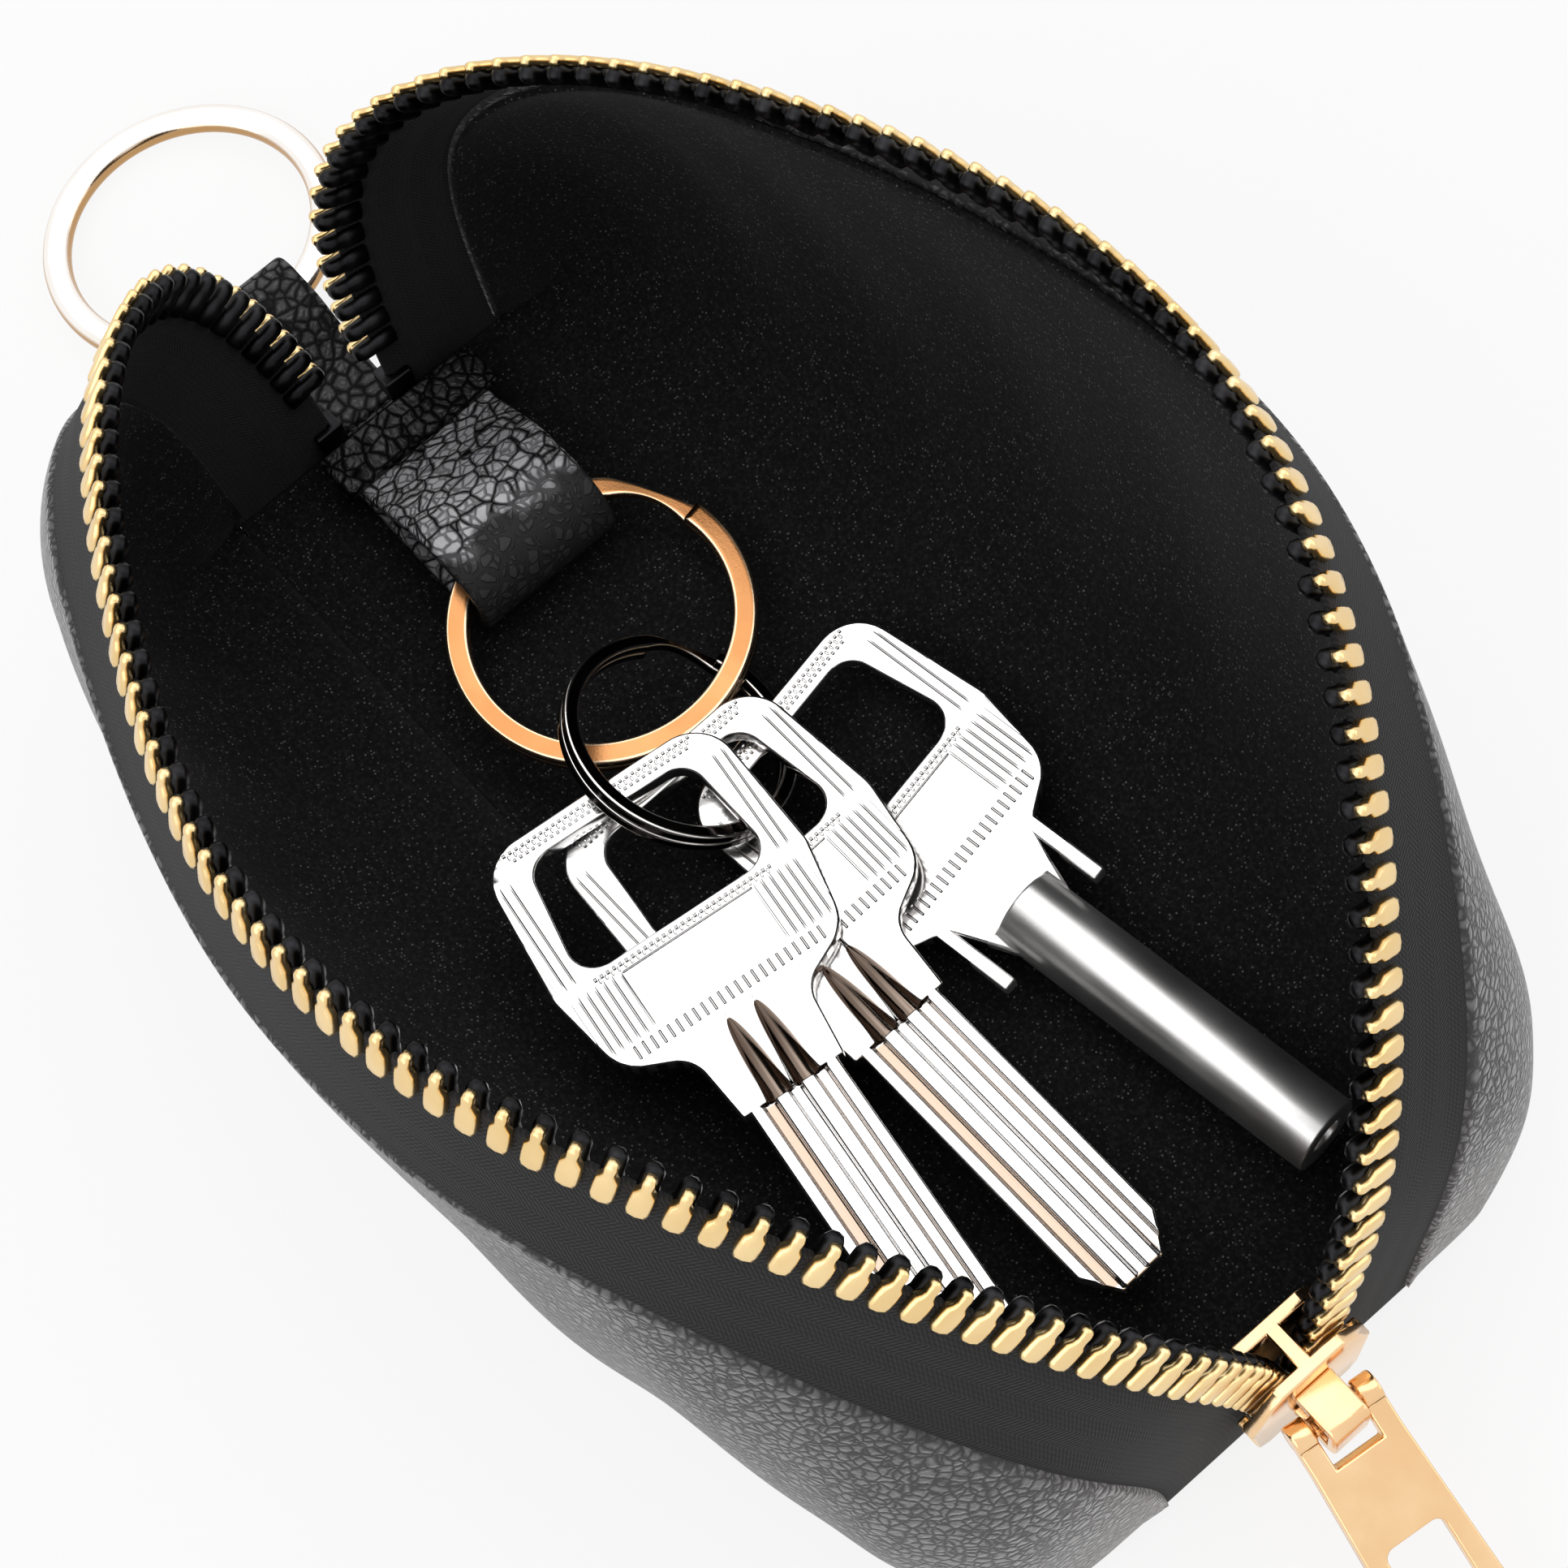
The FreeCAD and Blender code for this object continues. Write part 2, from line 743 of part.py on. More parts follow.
def outer_ring():
    """Solid gilt ring that lies outside the case in the outer strap."""
    inner = outer_ring_radius - outer_ring_wire / 2
    half = outer_ring_wire / 2
    high = outer_ring_thick / 2
    corners = [
        Vector(outer_ring_radius + x, 0, z)
        for x, z in (
            (-half, outer_ring_bevel - high),
            (outer_ring_bevel - half, -high),
            (half - outer_ring_bevel, -high),
            (half, outer_ring_bevel - high),
            (half, high - outer_ring_bevel),
            (half - outer_ring_bevel, high),
            (outer_ring_bevel - half, high),
            (-half, high - outer_ring_bevel),
        )
    ]
    section = Part.Face(Part.makePolygon(corners + corners[:1]))
    ring = section.revolve(Vector(0, 0, 0), Z_AXIS, 360)
    reach = math.sqrt(inner ** 2 - (outer_strap_width / 2) ** 2)
    middle = (outer_ring_radius + half + reach) / 2
    ring.translate(Vector(-middle, 0, 0))
    ring.rotate(Vector(0, 0, 0), Y_AXIS, -outer_ring_droop_angle)
    ring.translate(outer_pivot)
    return ring


def upright_edges(shape, low, high):
    """Edges along Z whose X lies between two places."""
    found = []
    for edge in shape.Edges:
        first, last = edge.Vertexes[0], edge.Vertexes[-1]
        upright = abs(first.X - last.X) + abs(first.Y - last.Y) < coil_bevel
        if upright and low < first.X < high:
            found.append(edge)
    return found


def key_bow():
    """Bow with its window for the ring, ending in the shoulder."""
    right = [
        (-bow_top, bow_top_width / 2),
        (bow_widest, bow_width / 2),
        (bow_foot, bow_foot_width / 2),
        (shoulder_at, shoulder_width / 2),
        (collar_at, collar_width / 2),
    ]
    bow = prism(right + [(x, -y) for x, y in reversed(right)], key_thick)
    bow = bow.makeFillet(bow_round, upright_edges(bow, -bow_top - cut_overrun, bow_foot + cut_overrun))
    neck = upright_edges(bow, shoulder_at - cut_overrun, shoulder_at + cut_overrun)
    bow = bow.makeFillet(shoulder_round, neck)
    window = prism(
        [
            (-window_length / 2, window_top_width / 2),
            (window_length / 2, window_foot_width / 2),
            (window_length / 2, -window_foot_width / 2),
            (-window_length / 2, -window_top_width / 2),
        ],
        key_thick + 2 * cut_overrun,
    )
    window = window.makeFillet(window_round, upright_edges(window, -window_length, window_length))
    return bow.cut(window)


def flat_key():
    """Key with a grooved blade and two fluted hollows at the neck."""
    right = [
        (collar_at, blade_width / 2),
        (blade_end - blade_tip_length, blade_width / 2),
        (blade_end, blade_tip_width / 2),
    ]
    blade = prism(right + [(x, -y) for x, y in reversed(right)], key_thick)
    long = blade_end - collar_at + cut_overrun
    for side in (-groove_spread, 0, groove_spread):
        for face in (-key_thick / 2 - groove_depth, key_thick / 2 - groove_depth):
            corner = Vector(collar_at, side - groove_width / 2, face)
            blade = blade.cut(Part.makeBox(long, groove_width, 2 * groove_depth, corner))
    key = key_bow().fuse(blade)
    for side in (-flute_spread / 2, flute_spread / 2):
        foot = Vector(collar_at, side, key_thick / 2)
        key = key.cut(Part.makeCone(flute_radius, 0, flute_length, foot, X_AXIS * -1))
    return key.removeSplitter()


def tube_key():
    """Key with a tubular shank, a cone at its root and two guide fins."""
    key = key_bow()
    slim = tube_radius - tube_neck_inset
    beyond = collar_at + cut_overrun
    for side in (-1, 1):
        spare = [
            (shoulder_at, side * bow_width),
            (shoulder_at, side * shoulder_width / 2),
            (tube_neck_end, side * slim),
            (beyond, side * slim),
            (beyond, side * bow_width),
        ]
        key = key.cut(prism(spare, key_thick + 2 * cut_overrun))
    cone = Part.makeCone(
        cone_radius, tube_radius, tube_start - cone_start, Vector(cone_start, 0, 0), X_AXIS
    )
    tube = Part.makeCylinder(tube_radius, blade_end - tube_start, Vector(tube_start, 0, 0), X_AXIS)
    bore_start = Vector(blade_end - tube_bore_depth, 0, 0)
    bore = Part.makeCylinder(tube_bore, tube_bore_depth + cut_overrun, bore_start, X_AXIS)
    key = key.fuse(cone).fuse(tube.cut(bore))
    for side in (-fin_side - fin_width / 2, fin_side - fin_width / 2):
        corner = Vector(fin_at, side, -key_thick / 2)
        key = key.fuse(Part.makeBox(fin_reach - fin_at, fin_width, key_thick, corner))
    return key.removeSplitter()


def posed_key(key, place, turn):
    """Key turned about the upright, pitched up and rolled, with its window at a place."""
    yaw, pitch, roll = turn
    origin = Vector(0, 0, 0)
    key.rotate(origin, X_AXIS, roll)
    key.rotate(origin, Y_AXIS, -pitch)
    key.rotate(origin, Z_AXIS, yaw)
    key.translate(place)
    return key


def build():
    """All the pieces by name."""
    back_panel = panel()
    back_lining = panel_lining()
    back_tape = zip_tape()
    back_stop = top_stop()
    return {
        "base_strip": base_strip(),
        "base_lining": base_lining(),
        "back_panel": back_panel,
        "front_panel": mirrored(back_panel),
        "back_lining": back_lining,
        "front_lining": mirrored(back_lining),
        "back_zip_tape": back_tape,
        "front_zip_tape": mirrored(back_tape),
        "back_zip_teeth": zip_teeth(first_tooth),
        "front_zip_teeth": mirrored(zip_teeth(first_tooth + tooth_pitch / 2)),
        "back_top_stop": back_stop,
        "front_top_stop": mirrored(back_stop),
        "bottom_stop": bottom_stop(),
        "slider_body": slider_body(),
        "slider_crown": slider_crown(),
        "lock_spring": lock_spring(),
        "puller": puller(),
        "key_strap": key_strap(),
        "strap_patch": strap_patch(),
        "key_ring": key_ring(),
        "split_ring": keys_ring(),
        "key_a": posed_key(flat_key(), key_a_place, key_a_turn_angles),
        "key_b": posed_key(flat_key(), key_b_place, key_b_turn_angles),
        "key_c": posed_key(tube_key(), key_c_place, key_c_turn_angles),
        "outer_strap": outer_strap(),
        "outer_ring": outer_ring(),
    }


os.makedirs("parts", exist_ok=True)
for name, piece in build().items():
    piece.exportStep(os.path.join("parts", name + ".step"))
    box = piece.BoundBox
    print(
        f"{name}: {len(piece.Solids)} solids, valid {piece.isValid()}, {piece.Volume:.1f} mm3, "
        f"X {box.XMin:.1f} to {box.XMax:.1f}, Y {box.YMin:.1f} to {box.YMax:.1f}, "
        f"Z {box.ZMin:.1f} to {box.ZMax:.1f}"
    )
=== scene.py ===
"""Looks of the zip-around leather key case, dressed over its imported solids.

Sizes are in millimetres, in the same frame as the solids, and meshes are written in metres.
"""

import json
import logging
import math
from collections.abc import Callable
from dataclasses import dataclass
from enum import Enum
from functools import cached_property, partial

import bmesh
import bpy
import numpy as np
from mathutils import Matrix, Vector

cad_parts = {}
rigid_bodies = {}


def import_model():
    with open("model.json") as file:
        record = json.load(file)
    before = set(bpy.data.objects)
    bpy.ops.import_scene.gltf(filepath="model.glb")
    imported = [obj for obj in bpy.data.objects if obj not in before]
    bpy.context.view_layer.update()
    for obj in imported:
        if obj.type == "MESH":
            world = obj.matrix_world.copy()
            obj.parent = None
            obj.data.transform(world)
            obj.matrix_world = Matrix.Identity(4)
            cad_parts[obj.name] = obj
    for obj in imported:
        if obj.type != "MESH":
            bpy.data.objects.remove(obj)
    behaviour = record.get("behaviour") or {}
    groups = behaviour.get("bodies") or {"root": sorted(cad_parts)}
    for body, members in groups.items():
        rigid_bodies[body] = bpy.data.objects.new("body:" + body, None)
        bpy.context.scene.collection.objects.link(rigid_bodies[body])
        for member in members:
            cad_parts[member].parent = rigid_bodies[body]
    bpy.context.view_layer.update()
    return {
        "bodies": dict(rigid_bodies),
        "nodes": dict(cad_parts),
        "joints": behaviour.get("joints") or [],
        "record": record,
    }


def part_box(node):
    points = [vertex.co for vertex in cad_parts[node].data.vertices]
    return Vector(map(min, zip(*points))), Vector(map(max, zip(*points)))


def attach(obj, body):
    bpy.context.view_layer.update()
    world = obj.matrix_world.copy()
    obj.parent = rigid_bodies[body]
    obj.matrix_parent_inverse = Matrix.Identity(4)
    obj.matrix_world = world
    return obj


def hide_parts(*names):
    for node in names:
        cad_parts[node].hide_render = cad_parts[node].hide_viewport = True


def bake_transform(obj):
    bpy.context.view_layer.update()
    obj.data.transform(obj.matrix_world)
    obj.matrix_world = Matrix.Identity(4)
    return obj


MM = 0.001
IMAGE_SIZE = 1932
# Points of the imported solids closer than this, in metres, are one point.
WELD = 2e-6
# Angles in degrees: below the first a face counts as flat, above the second an edge is rounded.
FLAT_ANGLE = 1.0
SHARP_ANGLE = 34.0
# Points on each flat of a marked section, as shares of the flat.
FLAT_POINTS = (0.2, 0.5, 0.8)
# Where most of a noise's values lie.
NOISE_SPAN = (0.3, 0.7)
# Place along the tube key, from the middle of its window, at which the tube begins.
TUBE_START = 20.0
BLACK = (0.0, 0.0, 0.0, 1.0)
WHITE = (1.0, 1.0, 1.0, 1.0)
Colour = tuple[float, float, float, float]
Point = tuple[float, float, float]
log = logging.getLogger("key_case")


class Side(Enum):
    """The two mirrored halves of the case."""

    BACK = 1.0
    FRONT = -1.0

    @property
    def prefix(self) -> str:
        """First word of the half's node names."""
        return self.name.lower()

    def turn(self, points: np.ndarray) -> np.ndarray:
        """Points or directions of the back half, moved to this half."""
        return points * np.array([1.0, self.value, 1.0])


def unit(rows: np.ndarray) -> np.ndarray:
    """Rows scaled to length one."""
    return rows / np.linalg.norm(rows, axis=-1, keepdims=True)


def smooth(shares: np.ndarray) -> np.ndarray:
    """Shares from 0 to 1 with a soft start and end."""
    return shares * shares * (3.0 - 2.0 * shares)


def lengths_along(points: np.ndarray) -> np.ndarray:
    """Length of a line of points up to each of them."""
    steps = np.linalg.norm(np.diff(points, axis=0), axis=1)
    return np.concatenate([[0.0], np.cumsum(steps)])


def paired(rows: np.ndarray, columns: np.ndarray) -> np.ndarray:
    """Each row's value with each column's value, as a grid of pairs."""
    return np.stack(np.broadcast_arrays(rows[:, None], columns[None, :]), axis=-1)


def moved(grid: np.ndarray, place: Matrix) -> np.ndarray:
    """Points turned and moved by a matrix."""
    turn = np.array(place)
    return grid @ turn[:3, :3].T + turn[:3, 3]


def swept_round(angles: np.ndarray, reach: np.ndarray, heights: np.ndarray) -> np.ndarray:
    """Sections set round the upright axis.

    Args:
        angles: Place of each section round the axis.
        reach: Distance from the axis, by section and by place round the section.
        heights: Heights along the axis, in the same order.

    Returns:
        Points by section and by place round the section.
    """
    along = np.cos(angles)[:, None] * reach
    across = np.sin(angles)[:, None] * reach
    return np.stack(np.broadcast_arrays(along, across, heights), axis=-1)


def rounded_section(wide: float, high: float, corner: float, steps: int = 3) -> np.ndarray:
    """Loop of a rectangle with round corners.

    Args:
        wide: Full width.
        high: Full height.
        corner: Radius of the corners.
        steps: Faces round each corner.

    Returns:
        Points as rows of width and height.
    """
    points = []
    for n, (x, y) in enumerate(((1, 1), (-1, 1), (-1, -1), (1, -1))):
        for m in range(steps + 1):
            angle = math.pi / 2 * (n + m / steps)
            points.append(
                (
                    x * (wide / 2 - corner) + corner * math.cos(angle),
                    y * (high / 2 - corner) + corner * math.sin(angle),
                )
            )
    return np.array(points)


def marked_section(
    wide: float, high: float, corner: float, steps: int = 3
) -> tuple[np.ndarray, np.ndarray]:
    """Loop of a rectangle with round corners and a few points on each of its flats.

    Args:
        wide: Full width.
        high: Full height.
        corner: Radius of the corners.
        steps: Faces round each corner.

    Returns:
        Points as rows of width and height, and one at the corners, nothing on the flats.
    """
    loop = rounded_section(wide, high, corner, steps)
    points = []
    marks = []
    for n, point in enumerate(loop):
        points.append(point)
        marks.append(1.0)
        if n % (steps + 1) == steps:
            run = loop[(n + 1) % len(loop)] - point
            for share in FLAT_POINTS:
                points.append(point + run * share)
                marks.append(0.0)
    return np.array(points), np.array(marks)


def spline_knots(rows: int) -> np.ndarray:
    """Knots of a clamped uniform cubic spline with so many control rows."""
    return np.concatenate([np.zeros(3), np.linspace(0.0, 1.0, rows - 2), np.ones(3)])


def spline_weights(shares: np.ndarray, rows: int) -> np.ndarray:
    """Weights of a clamped uniform cubic spline.

    Args:
        shares: Places along the spline, from 0 to 1.
        rows: How many control rows the spline has.

    Returns:
        One line of weights for each share.
    """
    knots = spline_knots(rows)
    at = np.clip(shares, 0.0, 1.0 - 1e-12)[:, None]
    weights = ((knots[:-1] <= at) & (at < knots[1:])).astype(float)
    for degree in range(1, 4):
        count = len(knots) - 1 - degree
        rise = knots[degree : degree + count] - knots[:count]
        fall = knots[degree + 1 :] - knots[1 : count + 1]
        rising = (at - knots[:count]) / np.where(rise > 0, rise, 1.0)
        falling = (knots[degree + 1 :] - at) / np.where(fall > 0, fall, 1.0)
        weights = rising * weights[:, :count] + falling * weights[:, 1 : count + 1]
    return weights


@dataclass(frozen=True)
class ShellForm:
    """Form of the open shell: the line of the mouth and the ribs that hang from it."""

    case_length: float = 120.0
    mouth_width: float = 76.0
    mouth_height: float = 60.0
    base_end: float = -57.8
    base_width: float = 30.0
    leather: float = 1.5
    panel_flare: float = 27.0
    panel_end_flare: float = 4.5
    panel_shoulder: float = 14.0
    panel_toe_rise: float = 0.6
    panel_drop_share: float = 0.3
    flare_power: float = 0.75
    tape_show: float = 12.0
    mouth_shares: tuple[tuple[float, float, float], ...] = (
        (1.0, 0.021, 0.033),
        (1.0, 0.021, 0.2),
        (1.0, 0.184, 0.517),
        (0.83, 0.447, 0.75),
        (0.583, 0.737, 0.992),
        (0.242, 1.0, 1.025),
        (-0.2, 1.026, 0.892),
        (-0.575, 0.776, 0.858),
        (-0.875, 0.5, 0.783),
        (-1.1, 0.13, 0.525),
        (-0.967, 0.066, 0.24),
        (-0.95, 0.066, 0.052),
    )
    lean_shares: tuple[float, ...] = (
        1.0, 1.0, 0.98, 0.72, 0.455, 0.145, 0.2, 0.3, 0.6, 0.91, 1.0, 1.0,
    )
    shoulder_shares: tuple[float, ...] = (
        0.2, 0.8, 1.05, 0.75, 0.2, -0.12, -0.1, 0.15, 0.6, 0.9, 0.4, 0.07,
    )
    curve_samples: int = 2000
    curve_step: float = 0.0005

    @property
    def rows(self) -> int:
        """How many rows the mouth line has."""
        return len(self.mouth_shares)

    @cached_property
    def row_shares(self) -> np.ndarray:
        """Share of the mouth line at which each row has its say."""
        knots = spline_knots(self.rows)
        return np.array([knots[n + 1 : n + 4].mean() for n in range(self.rows)])

    @cached_property
    def mouth_rows(self) -> np.ndarray:
        """Control points of the mouth line."""
        half = np.array([self.case_length / 2, self.mouth_width / 2, self.mouth_height])
        return np.array(self.mouth_shares) * half

    def mouth(self, shares: np.ndarray) -> np.ndarray:
        """Points of the mouth line at these shares."""
        return spline_weights(shares, self.rows) @ self.mouth_rows

    def along(self, shares: np.ndarray) -> np.ndarray:
        """Directions of the mouth line, from the slider end to the strap end."""
        ahead = self.mouth(np.minimum(shares + self.curve_step, 1.0))
        return unit(ahead - self.mouth(np.maximum(shares - self.curve_step, 0.0)))

    @cached_property
    def tape_rows(self) -> tuple[np.ndarray, np.ndarray]:
        """Lie of the tape at each row.

        Returns:
            Directions down the tape and out of it.
        """
        along = self.along(self.row_shares)
        up = unit(np.cross((0.0, 1.0, 0.0), along))
        side = np.cross(along, up)
        leans = spline_weights(self.row_shares, self.rows) @ np.array(self.lean_shares)
        lean = leans[:, None] * math.pi / 2
        down = side * np.sin(lean) - up * np.cos(lean)
        return down, side * np.cos(lean) + up * np.sin(lean)

    def tape(self, shares: np.ndarray) -> tuple[np.ndarray, np.ndarray]:
        """Directions down the tape and out of its outer face.

        Args:
            shares: Places along the mouth line.

        Returns:
            The downward and the outward directions.
        """
        weights = spline_weights(shares, self.rows)
        down = unit(weights @ self.tape_rows[0])
        return down, unit(np.cross(down, self.along(shares)))

    @cached_property
    def sampled(self) -> np.ndarray:
        """Shares at which the mouth line's length is measured."""
        return np.linspace(0.0, 1.0, self.curve_samples + 1)

    @cached_property
    def lengths(self) -> np.ndarray:
        """Length of the mouth line up to each sampled share."""
        return lengths_along(self.mouth(self.sampled))

    def shares_at(self, lengths: np.ndarray) -> np.ndarray:
        """Shares of the mouth line at these lengths from its slider end."""
        return np.interp(lengths, self.lengths, self.sampled)

    @cached_property
    def ribs(self) -> np.ndarray:
        """Control points of the shell's middle surface.

        Returns:
            Four points, from foot to seam, for each row.
        """
        shares = self.row_shares
        long = self.case_length / 2 - self.base_end
        middle = self.base_end + long / 2
        foot = np.stack(
            [
                middle + long / 2 * np.cos(math.pi * shares),
                np.full(self.rows, self.base_width / 2),
                np.full(self.rows, self.leather / 2),
            ],
            axis=1,
        )
        toe = foot.copy()
        swell = np.abs(np.sin(math.pi * shares)) ** self.flare_power
        toe[:, 1] += self.panel_end_flare + self.panel_flare * swell
        toe[:, 2] += self.panel_toe_rise
        seam = self.mouth_rows + self.tape_rows[0] * self.tape_show
        top = seam.copy()
        top[:, 1] += self.panel_shoulder * np.array(self.shoulder_shares)
        top[:, 2] *= 1.0 - self.panel_drop_share
        return np.stack([foot, toe, top, seam], axis=1)

    def net(self, distance: float) -> np.ndarray:
        """Control points of the surface beside the middle one.

        Args:
            distance: How far out of the middle the surface lies.

        Returns:
            Four points, from foot to seam, for each row.
        """
        ribs = self.ribs
        ahead = ribs[np.minimum(np.arange(self.rows) + 1, self.rows - 1)]
        behind = ribs[np.maximum(np.arange(self.rows) - 1, 0)]
        offset = np.empty_like(ribs)
        for pole in range(4):
            along = ahead[:, pole] - behind[:, pole]
            runs = [ribs[:, k + 1] - ribs[:, k] for k in (pole - 1, pole) if 0 <= k < 3]
            normals = [unit(np.cross(along, run)) for run in runs]
            mitre = 1.0 + np.sum(normals[0] * normals[-1], axis=1, keepdims=True)
            offset[:, pole] = ribs[:, pole] + (normals[0] + normals[-1]) * distance / mitre
        return offset

    def surface(self, distance: float, shares: np.ndarray, heights: np.ndarray) -> np.ndarray:
        """Points of the surface at a distance from the middle.

        Args:
            distance: How far out of the middle the surface lies.
            shares: Places along the mouth line.
            heights: Places from the foot, 0, to the seam, 1.

        Returns:
            Points by share and by height.
        """
        rest = 1.0 - heights
        climb = np.stack(
            [rest**3, 3 * rest**2 * heights, 3 * rest * heights**2, heights**3], axis=1
        )
        weights = spline_weights(shares, self.rows)
        return np.einsum("nr,rpc,mp->nmc", weights, self.net(distance), climb)


def shown(name: str, mesh: bpy.types.Mesh) -> bpy.types.Object:
    """Puts a mesh into the scene.

    Args:
        name: Name of the new object.
        mesh: Its mesh.

    Returns:
        The new object.
    """
    piece = bpy.data.objects.new(name, mesh)
    bpy.context.scene.collection.objects.link(piece)
    return piece


def map_points(mesh: bpy.types.Mesh, uv: np.ndarray) -> None:
    """Gives a mesh a UV map.

    Args:
        mesh: The mesh.
        uv: Two numbers for each of its points.
    """
    corners = np.empty(len(mesh.loops), dtype=np.int32)
    mesh.loops.foreach_get("vertex_index", corners)
    layer = mesh.uv_layers.new(name="UVMap")
    layer.data.foreach_set("uv", uv[corners].ravel().astype(np.float32))


def lattice(
    name: str,
    grid: np.ndarray,
    closed_path: bool = False,
    uv: np.ndarray | None = None,
) -> bpy.types.Object:
    """Closed mesh over sections that are loops of points.

    Args:
        name: Name of the new object.
        grid: Points in millimetres, by section and by place round the section.
        closed_path: Whether the last section joins the first.
        uv: Two numbers for each point, kept as a UV map.

    Returns:
        The new object, smooth and facing outwards.
    """
    sections, around = grid.shape[:2]
    faces = []
    for n in range(sections if closed_path else sections - 1):
        low = n * around
        high = (n + 1) % sections * around
        for m in range(around):
            k = (m + 1) % around
            faces.append((low + m, low + k, high + k, high + m))
    if not closed_path:
        for low in (0, (sections - 1) * around):
            for m in range(around // 2 - 1):
                faces.append((low + m, low + m + 1, low + around - 2 - m, low + around - 1 - m))
    mesh = bpy.data.meshes.new(name)
    mesh.from_pydata((grid.reshape(-1, 3) * MM).tolist(), [], faces)
    if uv is not None:
        map_points(mesh, uv.reshape(-1, 2))
    work = bmesh.new()
    work.from_mesh(mesh)
    bmesh.ops.recalc_face_normals(work, faces=work.faces)
    work.to_mesh(mesh)
    work.free()
    mesh.shade_smooth()
    return shown(name, mesh)


def baked(piece: bpy.types.Object) -> bpy.types.Object:
    """Turns an object's modifiers into plain mesh.

    Args:
        piece: The object.

    Returns:
        The same object.
    """
    bpy.context.view_layer.update()
    graph = bpy.context.evaluated_depsgraph_get()
    mesh = bpy.data.meshes.new_from_object(piece.evaluated_get(graph))
    piece.modifiers.clear()
    spare = piece.data
    piece.data = mesh
    bpy.data.meshes.remove(spare)
    return piece


def edged_copy(
    node: bpy.types.Object,
    name: str,
    width: float,
    steps: int = 2,
    reshape: Callable[[np.ndarray], np.ndarray] | None = None,
) -> bpy.types.Object:
    """Copy of a hard piece with its sharp edges rounded.

    Args:
        node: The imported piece.
        name: Name of the copy.
        width: Width of the rounding in millimetres.
        steps: How many faces the rounding has.
        reshape: Moves the piece's points, in millimetres, before its edges are rounded.

    Returns:
        The copy as a plain mesh.
    """
    work = bmesh.new()
    work.from_mesh(node.data)
    bmesh.ops.remove_doubles(work, verts=work.verts, dist=WELD)
    if reshape is not None:
        points = np.array([vertex.co for vertex in work.verts]) / MM
        for vertex, point in zip(work.verts, reshape(points)):
            vertex.co = point * MM
    bmesh.ops.dissolve_limit(
        work, angle_limit=math.radians(FLAT_ANGLE), verts=work.verts, edges=work.edges
    )
    mesh = bpy.data.meshes.new(name)
    work.to_mesh(mesh)
    work.free()
    mesh.materials.clear()
    mesh.shade_smooth()
    piece = shown(name, mesh)
    bevel = piece.modifiers.new("Edges", "BEVEL")
    bevel.width = width * MM
    bevel.segments = steps
    bevel.limit_method = "ANGLE"
    bevel.angle_limit = math.radians(SHARP_ANGLE)
    bevel.use_clamp_overlap = False
    bevel.harden_normals = True
    split = piece.modifiers.new("Split", "TRIANGULATE")
    split.min_vertices = 5
    split.keep_custom_normals = True
    return baked(piece)


def settle(
    piece: bpy.types.Object,
    finish: bpy.types.Material | None,
    body: str,
    slot: str,
    *nodes: str,
) -> bpy.types.Object:
    """Gives a finished piece its material and its body, and hides the nodes it stands for.

    Args:
        piece: The piece, at its place.
        finish: Its material, or None where the mesh already has its own.
        body: The body that it moves with.
        slot: The record's material slot; not used.
        nodes: Nodes that it stands for.

    Returns:
        The piece.
    """
    if finish is not None:
        piece.data.materials.clear()
        piece.data.materials.append(finish)
    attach(piece, body)
    if nodes:
        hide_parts(*nodes)
    log.info("%s rides on %s with %d faces", piece.name, body, len(piece.data.polygons))
    return piece


Value = float | tuple | bpy.types.NodeSocket


